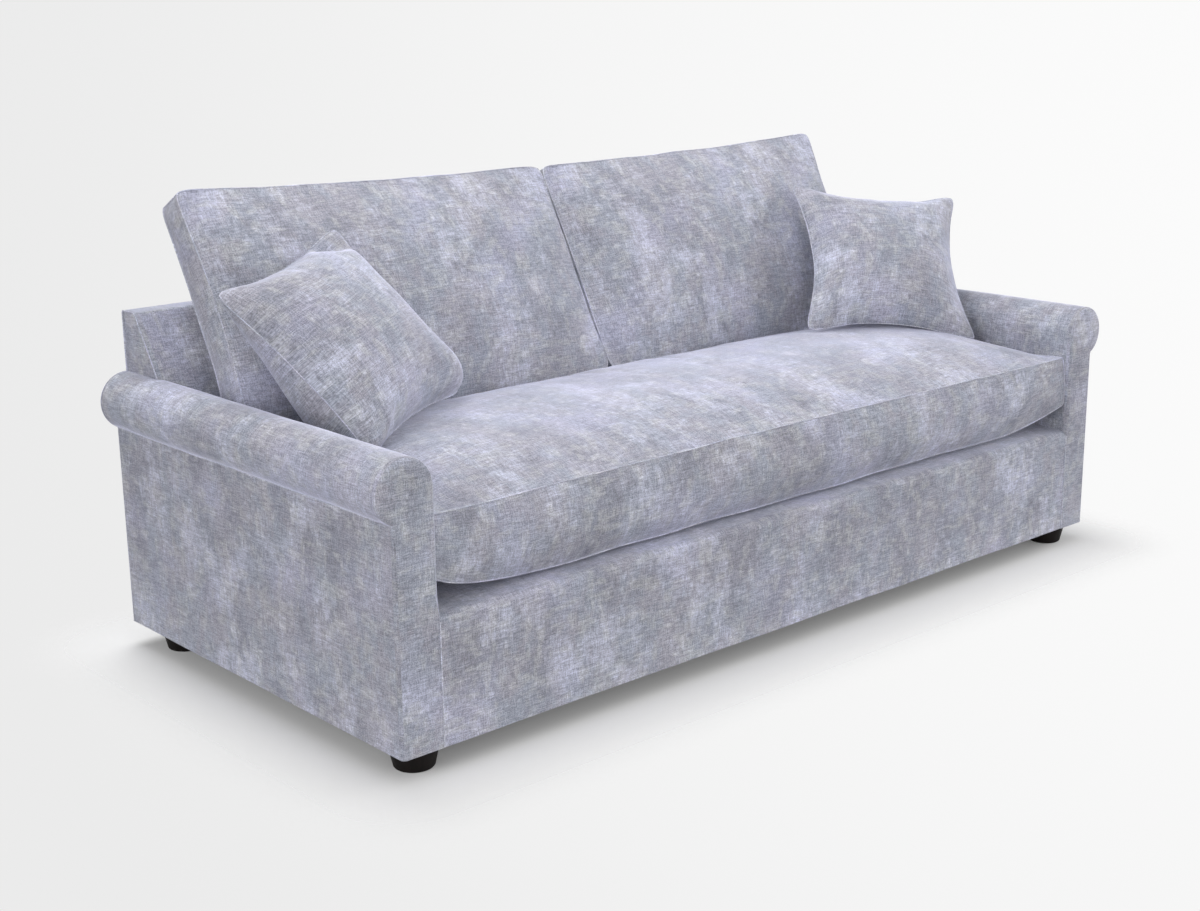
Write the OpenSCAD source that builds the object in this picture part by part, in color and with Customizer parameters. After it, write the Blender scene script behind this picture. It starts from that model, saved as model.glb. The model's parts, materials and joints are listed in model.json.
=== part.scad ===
// Three-seater sofa with rolled arms, a bench seat cushion, two back cushions and two scatter cushions.
// Each module is drawn from the front of the arms, Y = 0, towards the back, in millimetres.

/* [Overall] */
// Width over the outsides of the arms, below their rolls
body_w = 2100; // [1700:10:2400]
// Depth from the fronts of the arms to the outside back
body_d = 1000; // [930:5:1100]
// Height of the feet, where the body starts
foot_h = 47; // [40:1:90]

/* [Arms] */
// Thickness of an arm below its roll
arm_t = 90; // [84:1:110]
// Radius of the rolled top of an arm, over its cover
roll_r = 62; // [56:1:75]
// Height of the middle of the roll
roll_z = 536; // [500:1:590]

/* [Back frame] */
// Height of the back frame
back_h = 726; // [680:1:800]
// Thickness of the back frame at its top
back_top_t = 53; // [48:1:80]
// Lean of the inside back, from upright
back_rake = 32; // [28:0.5:34]
// Radius of the top front edge of the back frame
back_round = 20; // [17:1:26]
// How far the back frame laps over each arm
back_lap = 58; // [44:1:70]

/* [Timber] */
// Thickness of the rails and boards
board_t = 22; // [18:1:24]
// Height of the rear rail
rear_rail_h = 123; // [90:1:150]
// Height of the two stretchers under the seat
stretcher_h = 103; // [70:1:120]
// Height of the timber at the top of the back and along its foot
back_rail_h = 42; // [34:1:50]
// Length of a foot block, from front to back
block_l = 110; // [100:1:130]
// Width of a foot block
block_w = 80; // [70:1:85]
// Height of a foot block
block_h = 40; // [30:1:60]
// Thickness of the bent hardboard that lines an arm
lining_t = 3; // [2:0.5:4]

/* [Upholstery] */
// Thickness of the sewn cover
cover_t = 2.5; // [2:0.1:3]
// Thickness of the wadding under the cover
wadding_t = 9.5; // [8:0.5:11]
// Thickness of the stiffened outside panels
panel_t = 6; // [4:0.5:8]
// Radius of the top edge of the front rail
front_round = 18; // [12:1:24]
// Depth of the padded lip behind the top of the front rail
lip_d = 70; // [60:1:90]
// Height of the deck, on which the seat cushion lies
deck_z = 298; // [280:1:310]
// Thickness of the felt deck over the springs
deck_t = 15; // [14:1:20]
// Thickness of the dust cover
dust_t = 1; // [0.8:0.1:2]

/* [Springs and webbing] */
// Number of zigzag springs across the seat
springs = 13; // [8:1:16]
// Thickness of the spring wire
wire_d = 4; // [3.2:0.2:4.6]
// Width of a zigzag spring
spring_w = 54; // [50:1:60]
// Number of bars across each spring
spring_bars = 20; // [16:2:22]
// Width of a spring clip
clip_w = 12; // [8:1:14]
// Thickness of the steel of a spring clip
clip_t = 1.2; // [0.8:0.1:1.6]
// Diameter of the tie wires
tie_d = 3; // [2:0.1:4]
// Number of webbing straps across the back
straps = 12; // [8:1:14]
// Width of a webbing strap
strap_w = 60; // [40:1:70]
// Thickness of the webbing
strap_t = 2; // [1.5:0.1:2.5]

/* [Feet] */
// Radius of a foot at its top
foot_r = 49; // [42:1:52]
// Radius of a foot at the floor
foot_low_r = 39.5; // [32:0.5:41]
// Radius of the turned lower edge
foot_round = 6; // [4:0.5:8]
// From the outside of the arm to the middle of a foot
foot_side = 67; // [60:1:75]
// From the front to the middle of a front foot
foot_front = 63; // [55:1:75]
// From the outside back to the middle of a rear foot
foot_rear = 105; // [90:1:120]
// Diameter of the bolt in a foot
bolt_d = 8; // [6:1:10]
// Depth of the bolt in the foot
bolt_low = 28; // [20:1:32]
// Length of the bolt above the foot
bolt_high = 34; // [25:1:38]
// Length of the sleeve of a tee nut
nut_l = 12; // [8:1:16]
// Radius of the flange of a tee nut
nut_r = 12; // [10:0.5:14]
// Thickness of the flange of a tee nut
nut_t = 1.5; // [1:0.1:2.5]

/* [Seat cushion] */
// Height of the top seam above the deck
seat_seam = 177; // [150:1:200]
// Height of the crown above the top seam
seat_crown = 57; // [40:1:80]
// From the front to the corners of the seat cushion
seat_front = 20; // [10:1:40]
// How far the front seam draws in between its corners
seat_front_draw = 20; // [5:1:25]
// How far the front border swells past its seams
seat_front_swell = 26; // [10:1:30]
// How far the back of the seat cushion stands past the foot of the inside back
seat_tuck = 22; // [0:1:40]
// How far the side seams draw in between their corners
seat_side_draw = 6; // [0:1:12]
// How far the underside lifts at its ends
seat_side_lift = 45; // [20:1:60]
// How far the underside lifts along its front and back seams
seat_edge_lift = 17; // [8:1:25]
// Thickness of the foam core of the seat cushion
seat_core_t = 100; // [80:1:110]
// How far the foam core stays inside the seams
seat_core_inset = 40; // [30:1:60]

/* [Back cushions] */
// Lean of the back cushions, from upright
cushion_lean = 28.3; // [25:0.1:30]
// Height of a back cushion along its lean
cushion_h = 528; // [480:1:560]
// Thickness of a back cushion at its seams
cushion_t = 86; // [70:1:110]
// How far the front of a back cushion swells past its seam
cushion_crown = 55; // [20:1:60]
// From the foot of the front of a back cushion to the foot of the inside back
cushion_set = 74; // [66:1:90]
// How far the top edge dips between its corners
cushion_dip = 12; // [0:1:20]
// How far the sides draw in between their corners
cushion_draw = 13; // [0:1:20]
// How far the border swells between its seams
cushion_swell = 5; // [0:1:8]

/* [Scatter cushions] */
// Size of a scatter cushion, corner to corner
scatter_size = 442; // [400:1:460]
// Thickness of a scatter cushion in its middle
scatter_t = 125; // [90:1:140]
// Share of the size by which its sides draw in
scatter_draw = 0.09; // [0:0.01:0.12]
// Lean of the scatter cushions, from upright
scatter_lean = 41; // [38:0.5:46]
// Tilt of the scatter cushions in their own plane
scatter_tilt = 9; // [0:0.5:12]
// Turn of the left scatter cushion towards the middle of the sofa
turn_left = 21; // [15:0.5:30]
// Turn of the right scatter cushion towards the middle of the sofa
turn_right = 27; // [15:0.5:30]
// From the inside of the left arm to the middle of the left scatter cushion
place_left = 205; // [120:1:260]
// From the inside of the right arm to the middle of the right scatter cushion
place_right = 157; // [110:1:260]

/* [Fits] */
// Gap between a cushion and what it rests on or against
rest_gap = 0.5; // [0.4:0.1:0.8]
// Gap between the two back cushions, and beside the arms
side_gap = 2; // [1:0.5:4]
// Gap between pieces of the frame that lie side by side
fit = 0.3; // [0.1:0.1:0.5]
// Slack between the wadding and what lies over and under it
ply = 0.1; // [0.05:0.05:0.3]
// Clearance of the bolts in their holes, on the radius
bolt_fit = 0.05; // [0.02:0.01:0.1]

/* [Hidden] */
$fn = 64;
SIDES = [-1, 1];
SIDE_NAMES = ["left", "right"];

arm_in = body_w / 2 - arm_t;
roll_x = arm_in + roll_r;
skin_t = cover_t + wadding_t;
core_inset = skin_t + lining_t;
arm_core_out = body_w / 2 - panel_t;
crease_z = roll_z - sqrt(pow(roll_r, 2) - pow(body_w / 2 - roll_x, 2));
rear_y = body_d - panel_t;
board_front = skin_t + board_t;
board_rear = rear_y - board_t;
rail_x = arm_core_out - board_t;

wire_top = deck_z - deck_t - fit;
wire_low = wire_top - wire_d;
rail_top = wire_low - fit - clip_t;
clip_top = wire_top + fit + clip_t;
cover_low = wire_low;
lip_low = deck_z - skin_t;

// Depth at which the outer face of the inside back stands at height z
function back_face(z) = rear_y + panel_t - back_top_t - (back_h - z) * tan(back_rake);
back_end = arm_in + back_lap;
back_core_end = back_end - skin_t;
web_inset = skin_t + strap_t;
post_inset = web_inset + board_t;
spring_rail_rear = back_face(cover_low) - 5;
spring_rail_front = spring_rail_rear - board_t;
post_low = foot_h + stretcher_h;
rear_rail_top = foot_h + rear_rail_h;
stretcher_x = arm_in / 3;

clip_gap = fit + wire_d + fit;
clip_depth = clip_t + clip_gap + 3;
front_bar = board_front - clip_t - fit - wire_d / 2;
rear_bar = spring_rail_front + clip_t + fit + wire_d / 2;
spring_pitch = (rear_bar - front_bar) / (spring_bars - 1);
loop_r = spring_pitch / 2;
bar_l = spring_w - spring_pitch - wire_d;
spring_step = 2 * arm_in / (springs + 1);
strap_step = 2 * arm_in / straps;

// Shared forms

// Moves a piece drawn from the front of the arms to the middle of the sofa
module in_place() translate([0, -body_d / 2, 0]) children();

// Puts what is drawn for the right side on the named side
module on_side(side) if (side == "left") mirror([1, 0, 0]) children(); else children();

// Extrudes an outline drawn in X and Z from depth y0 to depth y1
module along_y(y0, y1) translate([0, y1, 0]) rotate([90, 0, 0]) linear_extrude(y1 - y0) children();

// Extrudes an outline drawn in Y and Z from x0 to x1
module along_x(x0, x1) translate([x0, 0, 0]) rotate([90, 0, 90]) linear_extrude(x1 - x0) children();

// A block given by its lowest and highest corners
module block(low, high) translate(low) cube(high - low);

// Outline of the right arm, seen from the front, set in from its cover and from its outside panel
module arm_outline(inset, outside) {
    translate([roll_x, roll_z]) circle(roll_r - inset);
    translate([arm_in + inset, foot_h]) square([arm_t - inset - outside, roll_z - foot_h]);
}

// A bent sheet that runs up the inside of the right arm and round its roll to the crease
module arm_wrap(inset, t) difference() {
    union() {
        translate([roll_x, roll_z]) circle(roll_r - inset);
        translate([arm_in + inset, cover_low]) square([t, roll_z - cover_low]);
    }
    translate([roll_x, roll_z]) circle(roll_r - inset - t);
    translate([arm_in + inset + t, foot_h]) square([body_w / 2 - arm_in - inset - t, roll_z - foot_h]);
}

// The space that both arms fill, with a clearance round them
module arm_space() for (side = SIDE_NAMES) on_side(side) along_y(-1, body_d + 1) {
    translate([roll_x, roll_z]) circle(roll_r + fit);
    translate([arm_in - fit, 0]) square([arm_t + roll_r, roll_z]);
}

// Outline of the back frame seen from its end, set in from its cover, down to height low
module back_outline(inset, low, rear = rear_y) {
    r = max(1, back_round - inset);
    top = back_h - inset;
    shift = inset / cos(back_rake);
    round_y = back_face(top - r) + shift + r / cos(back_rake);
    translate([round_y, top - r]) circle(r);
    polygon([[rear, low], [rear, top], [round_y, top],
        [round_y - r * cos(back_rake), top - r + r * sin(back_rake)], [back_face(low) + shift, low]]);
}

// Outline of the padded front edge of the seat, set in from its cover
module front_outline(inset) {
    r = front_round - inset;
    translate([inset + r, deck_z - inset - r]) circle(r);
    translate([inset, foot_h]) square([r, deck_z - inset - r - foot_h]);
    translate([inset + r, foot_h]) square([lip_d - inset - r, deck_z - inset - foot_h]);
}

// Base frame

module front_rail() color("burlywood") in_place()
    block([-arm_in - core_inset, skin_t, foot_h], [arm_in + core_inset, board_front, rail_top]);

module spring_rail() color("burlywood") in_place()
    block([-rail_x, spring_rail_front, post_low], [rail_x, spring_rail_rear, rail_top]);

module rear_rail() color("burlywood") in_place()
    block([-arm_in - core_inset, board_rear, foot_h], [arm_in + core_inset, rear_y, rear_rail_top]);

module stretchers() color("burlywood") in_place() for (s = SIDES)
    block([s * stretcher_x - board_t / 2, board_front, foot_h],
        [s * stretcher_x + board_t / 2, board_rear, post_low]);

module side_rail(side) color("burlywood") in_place() on_side(side)
    block([rail_x, board_front, foot_h], [arm_core_out, board_rear, rail_top]);

// Places its children at the middle of each foot, at the height of the top of the feet
module at_feet() in_place() for (s = SIDES, y = [foot_front, body_d - foot_rear])
    translate([s * (body_w / 2 - foot_side), y, foot_h]) children();

module foot_blocks() color("tan") difference() {
    in_place() for (s = SIDE_NAMES) on_side(s) for (y = [board_front, board_rear - block_l])
        block([rail_x - block_w, y, foot_h], [rail_x, y + block_l, foot_h + block_h]);
    at_feet() {
        translate([0, 0, -1]) cylinder(r = bolt_d / 2 + bolt_fit, h = block_h + 2);
        translate([0, 0, block_h - nut_l]) cylinder(r = bolt_d / 2 + 1, h = nut_l + 1);
    }
}

module tee_nuts() color("silver") at_feet() difference() {
    union() {
        translate([0, 0, block_h]) cylinder(r = nut_r, h = nut_t);
        translate([0, 0, block_h - nut_l]) cylinder(r = bolt_d / 2 + 1, h = nut_l + nut_t);
    }
    translate([0, 0, block_h - nut_l - 1]) cylinder(r = bolt_d / 2 + bolt_fit, h = nut_l + nut_t + 2);
}

// Feet

module foot_bolts() color("silver") at_feet()
    translate([0, 0, -bolt_low]) cylinder(r = bolt_d / 2, h = bolt_low + bolt_high);

module turned_foot() difference() {
    rotate_extrude() {
        polygon([[0, 0], [foot_low_r - foot_round, 0], [foot_low_r, foot_round],
            [foot_r, foot_h], [0, foot_h]]);
        translate([foot_low_r - foot_round, foot_round]) circle(foot_round);
        square([foot_low_r - foot_round, foot_round]);
    }
    translate([0, 0, foot_h - bolt_low]) cylinder(r = bolt_d / 2 + bolt_fit, h = bolt_low + 1);
}

module foot(side, y) color([0.06, 0.05, 0.05]) in_place() on_side(side)
    translate([body_w / 2 - foot_side, y, 0]) turned_foot();

// Arms

module arm_board(side, y) color("burlywood") in_place() on_side(side)
    along_y(y, y + board_t) arm_outline(core_inset, panel_t);

module arm_top_rail(side) color("burlywood") in_place() on_side(side)
    block([rail_x, board_front, crease_z - back_rail_h], [arm_core_out, board_rear, crease_z]);

module arm_lining(side) color("peru") in_place() on_side(side)
    along_y(skin_t, rear_y) arm_wrap(skin_t, lining_t);

module arm_wadding(side) color("white") in_place() on_side(side)
    along_y(skin_t, rear_y) arm_wrap(cover_t + ply, wadding_t - 2 * ply);

module arm_cover(side) color([0.66, 0.68, 0.76]) in_place() on_side(side)
    along_y(skin_t, rear_y) arm_wrap(0, cover_t);

module arm_facing(side) color([0.60, 0.62, 0.70]) in_place() on_side(side)
    along_y(0, skin_t) arm_outline(0, 0);

module arm_outside_panel(side) color([0.64, 0.66, 0.74]) in_place() on_side(side)
    block([arm_core_out, skin_t, foot_h], [body_w / 2, rear_y, crease_z]);

// Back frame

// A shaped upright whose right face stands at x
module back_post(x) color("burlywood") in_place() difference() {
    along_x(x - board_t, x) intersection() {
        back_outline(post_inset, post_low);
        translate([spring_rail_rear, post_low])
            square([body_d, back_h - web_inset - back_rail_h - post_low]);
    }
    block([x - board_t - 1, board_rear, 0], [x + 1, body_d, rear_rail_top]);
}

module back_top_rail() color("burlywood") in_place()
    along_x(-back_core_end, back_core_end) back_outline(web_inset, back_h - web_inset - back_rail_h);

module back_foot_rail() color("burlywood") in_place() along_x(-arm_in + fit, arm_in - fit) difference() {
    back_outline(web_inset, rail_top);
    back_outline(post_inset, 0, body_d);
    translate([0, rail_top + back_rail_h]) square(body_d);
}

module back_end_board(side) color("burlywood") in_place() difference() {
    on_side(side) along_x(back_core_end - board_t, back_core_end) difference() {
        back_outline(web_inset, roll_z);
        translate([0, back_h - web_inset - back_rail_h]) square(body_d);
    }
    arm_space();
}

module back_end_facing(side) color([0.62, 0.64, 0.72]) in_place() difference() {
    on_side(side) along_x(back_core_end, back_end) back_outline(0, roll_z);
    arm_space();
}

module back_webbing() color("dimgray") in_place() for (i = [0 : straps - 1])
    let (x = (i + 0.5) * strap_step - arm_in)
    along_x(x - strap_w / 2, x + strap_w / 2) difference() {
        back_outline(skin_t, rail_top);
        back_outline(web_inset, 0, body_d);
        translate([0, back_h - back_round]) square(body_d);
    }

// A bent sheet over the front and top of the back frame, cut to fit round the arms
module back_sheet(inset, t) difference() {
    along_x(-back_core_end, back_core_end) difference() {
        back_outline(inset, cover_low);
        back_outline(inset + t, 0, body_d);
    }
    arm_space();
}

module back_wadding() color("white") in_place() back_sheet(cover_t + ply, wadding_t - 2 * ply);

module back_cover() color([0.64, 0.66, 0.74]) in_place() back_sheet(0, cover_t);

module outside_back_panel() color([0.62, 0.64, 0.72]) in_place() along_y(rear_y, body_d) {
    for (side = SIDE_NAMES) on_side(side) arm_outline(0, 0);
    translate([-arm_in - 1, foot_h]) square([2 * arm_in + 2, roll_z - foot_h]);
    translate([-back_end, roll_z]) square([2 * back_end, back_h - roll_z]);
}

// Seat springs and deck

// One loop of a zigzag spring, open towards its bars
module spring_loop(side) difference() {
    circle(loop_r + wire_d / 2);
    circle(loop_r - wire_d / 2);
    translate([side > 0 ? -spring_w : 0, -spring_w]) square([spring_w, 2 * spring_w]);
}

module zigzag_spring() linear_extrude(wire_d) {
    for (i = [0 : spring_bars - 1])
        translate([-bar_l / 2, i * spring_pitch - wire_d / 2]) square([bar_l, wire_d]);
    for (i = [0 : spring_bars - 2]) let (side = i % 2 == 0 ? 1 : -1)
        translate([side * bar_l / 2, (i + 0.5) * spring_pitch]) spring_loop(side);
}

// Places its children at the middle of each spring
module at_springs() in_place() for (i = [1 : springs])
    translate([i * spring_step - arm_in, 0, 0]) children();

module seat_springs() color("gray") at_springs() translate([0, front_bar, wire_low]) zigzag_spring();

// A clip drawn from its closed end, with its floor on the rail
module spring_clip() along_x(-clip_w / 2, clip_w / 2) {
    square([clip_depth + 4, clip_t]);
    square([clip_t, clip_top - rail_top]);
    translate([0, clip_top - rail_top - clip_t]) square([clip_depth, clip_t]);
}

module spring_clips() color("silver") at_springs() {
    translate([0, rear_bar + wire_d / 2 + fit + clip_t, rail_top]) mirror([0, 1, 0]) spring_clip();
    translate([0, front_bar - wire_d / 2 - fit - clip_t, rail_top]) spring_clip();
}

module tie_wires() color("gray") in_place() for (share = [1 / 3, 2 / 3])
    translate([-rail_x, front_bar + share * (rear_bar - front_bar), wire_low - fit - tie_d / 2])
        rotate([0, 90, 0]) cylinder(d = tie_d, h = 2 * rail_x);

module deck() color([0.58, 0.60, 0.68]) in_place() along_x(-arm_in + fit, arm_in - fit) difference() {
    translate([lip_d, deck_z - deck_t]) square([back_face(clip_top) - fit - lip_d, deck_t]);
    translate([spring_rail_front - clip_w, 0]) square([body_d, clip_top + fit]);
    polygon([[back_face(0), 0], [back_face(back_h) - fit, back_h], [body_d, back_h], [body_d, 0]]);
}

module front_wadding() color("white") in_place() along_x(-arm_in + fit, arm_in - fit) difference() {
    front_outline(cover_t + ply);
    translate([skin_t, 0]) square([body_d, rail_top]);
    translate([board_front - clip_depth - 4 - fit, 0]) square([body_d, lip_low]);
}

module front_cover() color([0.64, 0.66, 0.74]) in_place() along_x(-arm_in + fit, arm_in - fit) difference() {
    front_outline(0);
    intersection() {
        front_outline(cover_t);
        translate([cover_t, foot_h - 1]) square(body_d);
    }
    translate([cover_t, foot_h - 1]) square([body_d, deck_z / 2]);
}

module dust_cover() color("black") difference() {
    in_place() block([-arm_core_out, skin_t, foot_h - dust_t], [arm_core_out, rear_y, foot_h]);
    at_feet() translate([0, 0, -dust_t - 1]) cylinder(r = foot_r + 1, h = dust_t + 2);
}

// Cushion forms

// Points round a square from -1 to 1, closer together towards its corners
function rim(n) = [for (side = [0:3], k = [0 : n - 1]) let (t = sin(180 * k / n - 90))
    side == 0 ? [t, -1] : side == 1 ? [1, t] : side == 2 ? [-t, 1] : [-1, -t]];

// A closed form from rings of points between two end points
module ringed_form(first, rings, last) {
    m = len(rings[0]);
    n = len(rings);
    end = n * m + 1;
    polyhedron(
        points = concat([first], [for (r = rings) each r], [last]),
        faces = concat(
            [for (k = [0 : m - 1]) [0, 1 + (k + 1) % m, 1 + k]],
            [for (j = [0 : n - 2], k = [0 : m - 1], half = [0, 1])
                let (a = 1 + j * m + k, b = 1 + j * m + (k + 1) % m)
                half == 0 ? [a, b, b + m] : [a, b + m, a + m]],
            [for (k = [0 : m - 1]) [end, end - m + k, end - m + (k + 1) % m]]
        )
    );
}

// How full a panel is at u and v: 1 in the middle and 0 along its seams
function fullness(u, v, pu, pv) = (1 - pow(min(1, abs(u)), pu)) * (1 - pow(min(1, abs(v)), pv));

// Steps from the middle of a panel to its seam, for fine and plain forms
FINE_STEPS = [0.3, 0.55, 0.75, 0.88, 0.96, 1];
PLAIN_STEPS = [0.5, 0.85, 1];

// The same as fullness, straight between the fine steps as the facets are
function step_pow(t, p) = lookup(min(1, abs(t)), [for (s = concat([0], FINE_STEPS)) [s, pow(s, p)]]);
function facet_fullness(u, v, pu, pv) = (1 - step_pow(u, pu)) * (1 - step_pow(v, pv));

// Seat cushion

seat_half = arm_in - side_gap;
back_foot = back_face(deck_z);
seat_seam_z = deck_z + seat_seam;
function seat_front_y(u) = seat_front + seat_front_draw * (1 - u * u);
function seat_rear_y(u) = back_foot + seat_tuck - seat_side_draw * (1 - u * u);
function seat_xy(u, v) = [(seat_half - seat_side_draw * (1 - v * v)) * u,
    (seat_front_y(u) * (1 - v) + seat_rear_y(u) * (1 + v)) / 2];
function seat_top(u, v) = [each seat_xy(u, v), seat_seam_z + seat_crown * fullness(u, v, 10, 2.2)];
function seat_low(u, v) = let (
        xy = seat_xy(u, v),
        z = deck_z + rest_gap + seat_side_lift * pow(abs(u), 14) + seat_edge_lift * pow(abs(v), 8))
    [xy.x, min(xy.y, back_face(z) - rest_gap), z];

// A point on the border at share t of the way from the top seam to the bottom seam
function seat_border(p, t) = let (
        swell = 4 * t * (1 - t),
        front = p.y == -1 ? -seat_front_swell * (1 - 0.6 * pow(p.x, 6)) : 0,
        side = abs(p.x) == 1 ? p.x * min(side_gap - rest_gap, seat_side_draw) : 0)
    (1 - t) * seat_top(p.x, p.y) + t * seat_low(p.x, p.y) + swell * [side, front, 0];

// Shares u and v of the seat cushion at which a point of the sofa lies
function seat_share(x, y) = let (u = x / seat_half, front = seat_front_y(u), rear = seat_rear_y(u))
    [u, (2 * y - front - rear) / (rear - front)];

// Height of the top of the seat cushion under a point of the sofa, smooth and as its facets are
function seat_height(x, y) = let (p = seat_share(x, y))
    seat_seam_z + seat_crown * fullness(p.x, p.y, 10, 2.2);
function seat_facets(x, y) = let (p = seat_share(x, y))
    seat_seam_z + seat_crown * facet_fullness(p.x, p.y, 10, 2.2);

module seat_form() {
    edge = rim(16);
    ringed_form(
        seat_top(0, 0),
        concat(
            [for (s = FINE_STEPS) [for (p = edge) seat_top(s * p.x, s * p.y)]],
            [for (t = [0.3, 0.7]) [for (p = edge) seat_border(p, t)]],
            [for (s = [1, 0.95, 0.86, 0.6]) [for (p = edge) seat_low(s * p.x, s * p.y)]]
        ),
        seat_low(0, 0)
    );
}

// The foam core, set in from the seams and grown by a clearance
module seat_foam(grow) {
    low = deck_z + seat_seam - seat_core_t - 8;
    block([-seat_half + seat_core_inset - grow, seat_front + seat_core_inset - grow, low - grow],
        [seat_half - seat_core_inset + grow, back_foot + seat_tuck - seat_core_inset + grow,
            low + seat_core_t + grow]);
}

module seat_cushion_cover() color([0.70, 0.72, 0.80]) in_place() difference() {
    seat_form();
    seat_foam(fit);
}

module seat_cushion_core() color("khaki") in_place() seat_foam(0);

// Back cushions

cushion_foot = back_foot - cushion_set;
cushion_half = (arm_in - 1.5 * side_gap) / 2;
cushion_x = side_gap / 2 + cushion_half;
cushion_base = seat_height(0, cushion_foot) + rest_gap;
LEAN_UP = [0, sin(cushion_lean), cos(cushion_lean)];
LEAN_FRONT = [0, -cos(cushion_lean), sin(cushion_lean)];
CUSHION_PU = 4;
CUSHION_PV = 3.4;

// Raises a point of a back cushion that would sink into the seat
function on_seat(p) = [p.x, p.y,
    max(p.z, seat_height(p.x, p.y) + rest_gap * (1 + 2 * pow(p.x / seat_half, 6)))];

// A point of the right back cushion, n in front of its front seam
function cushion_point(u, v, n) = let (
        x = cushion_x + u * (cushion_half - cushion_draw * (1 - v * v)),
        s = (v + 1) / 2 * (cushion_h - cushion_dip * (1 - u * u)))
    on_seat([x, cushion_foot, cushion_base] + s * LEAN_UP + n * LEAN_FRONT);

// Swell of the rear panel, which fills the space to the inside back
cushion_rear_crown = min([for (v = [-0.7 : 0.1 : 0.7]) let (
        p = cushion_point(0, v, -cushion_t),
        reach = (back_face(p.z) - p.y) / (cos(cushion_lean) + sin(cushion_lean) * tan(back_rake)))
    (reach - rest_gap) / fullness(0, v, CUSHION_PU, CUSHION_PV)]);

function cushion_front(u, v, inset) =
    cushion_point(u, v, cushion_crown * fullness(u, v, CUSHION_PU, CUSHION_PV) - inset);
function cushion_rear(u, v, inset) =
    cushion_point(u, v, inset - cushion_t - cushion_rear_crown * fullness(u, v, CUSHION_PU, CUSHION_PV));
function cushion_border(p, t, inset) = let (
        side = abs(p.x) == 1 ? p.x * cushion_swell * (1 - p.y * p.y) : 0,
        rise = p.y == 1 ? cushion_swell * (1 - p.x * p.x) : 0)
    on_seat((1 - t) * cushion_front(p.x, p.y, inset) + t * cushion_rear(p.x, p.y, inset)
        + 4 * t * (1 - t) * ([side, 0, 0] + rise * LEAN_UP));

// A back cushion, or its filling where it is set in from the seams
module cushion_form(edge, steps, share, inset) ringed_form(
    cushion_front(0, 0, inset),
    concat(
        [for (s = steps) [for (p = edge) cushion_front(share * s * p.x, share * s * p.y, inset)]],
        share == 1 ? [for (t = [0.5]) [for (p = edge) cushion_border(p, t, inset)]] : [],
        [for (i = [len(steps) - 1 : -1 : 0]) let (s = steps[i])
            [for (p = edge) cushion_rear(share * s * p.x, share * s * p.y, inset)]]
    ),
    cushion_rear(0, 0, inset)
);

// The inner pad of a back cushion, grown by a clearance
module cushion_filling(grow) cushion_form(rim(6), PLAIN_STEPS, 0.92 + grow / cushion_half, 12 - grow);

module back_cushion_cover(side) color([0.68, 0.70, 0.78]) in_place() on_side(side) difference() {
    cushion_form(rim(13), FINE_STEPS, 1, 0);
    cushion_filling(fit);
}

module back_cushion_pad(side) color("ivory") in_place() on_side(side) cushion_filling(0);

// Scatter cushions

// Height of what lies under a scatter cushion: the seat, or the roll of the arm beside it
function ground(x, y) = let (reach = pow(roll_r, 2) - pow(x - roll_x, 2))
    max(seat_facets(x, y), reach > 0 ? roll_z + sqrt(reach) : 0);

// A point of a right scatter cushion about its own middle, on its front or its rear face
function scatter_local(turn, u, v, face, inset) = let (
        h = scatter_size / 2 - inset,
        full = pow(fullness(u, v, 2, 2), 0.62),
        x = h * u * (1 - scatter_draw * (1 - v * v)),
        z = h * v * (1 - scatter_draw * (1 - u * u)),
        y = face * max(0, scatter_t / 2 - inset) * full,
        x1 = x * cos(scatter_tilt) + z * sin(scatter_tilt),
        z1 = z * cos(scatter_tilt) - x * sin(scatter_tilt),
        y2 = y * cos(scatter_lean) + z1 * sin(scatter_lean),
        z2 = z1 * cos(scatter_lean) - y * sin(scatter_lean))
    [x1 * cos(turn) + y2 * sin(turn), y2 * cos(turn) - x1 * sin(turn), z2];

// Depth of the front of the back cushion at x and height z, or far back above its top
function cushion_front_depth(x, z) = let (
        u = (x - cushion_x) / cushion_half,
        s0 = (z - cushion_base) / cos(cushion_lean),
        n0 = cushion_crown * facet_fullness(u, 2 * s0 / cushion_h - 1, CUSHION_PU, CUSHION_PV),
        s = (z - cushion_base - n0 * sin(cushion_lean)) / cos(cushion_lean),
        n = cushion_crown * facet_fullness(u, 2 * s / cushion_h - 1, CUSHION_PU, CUSHION_PV))
    s > cushion_h ? body_d : cushion_foot + s * sin(cushion_lean) - n * cos(cushion_lean);

// Settles a scatter cushion, given by its points, on to the seat and back against the back cushion
function scatter_rise(c, cloud) = max([for (p = cloud) ground(c.x + p.x, c.y + p.y) - c.z - p.z]);
function scatter_reach(c, cloud) = min([for (p = cloud)
    cushion_front_depth(c.x + p.x, c.z + p.z) - c.y - p.y]);
function scatter_settle(c, cloud, turns) = let (
        raised = c + [0, 0, scatter_rise(c, cloud) + rest_gap])
    turns == 0 ? raised : scatter_settle(
        raised + [0, scatter_reach(raised, cloud) - rest_gap, 0], cloud, turns - 1);
function scatter_middle(turn, place) = scatter_settle(
    [arm_in - place, cushion_foot - 100, roll_z + scatter_size / 3],
    [for (p = rim(10), s = FINE_STEPS, face = SIDES) scatter_local(turn, s * p.x, s * p.y, face, 0)], 7);
middle_left = scatter_middle(turn_left, place_left);
middle_right = scatter_middle(turn_right, place_right);

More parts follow.
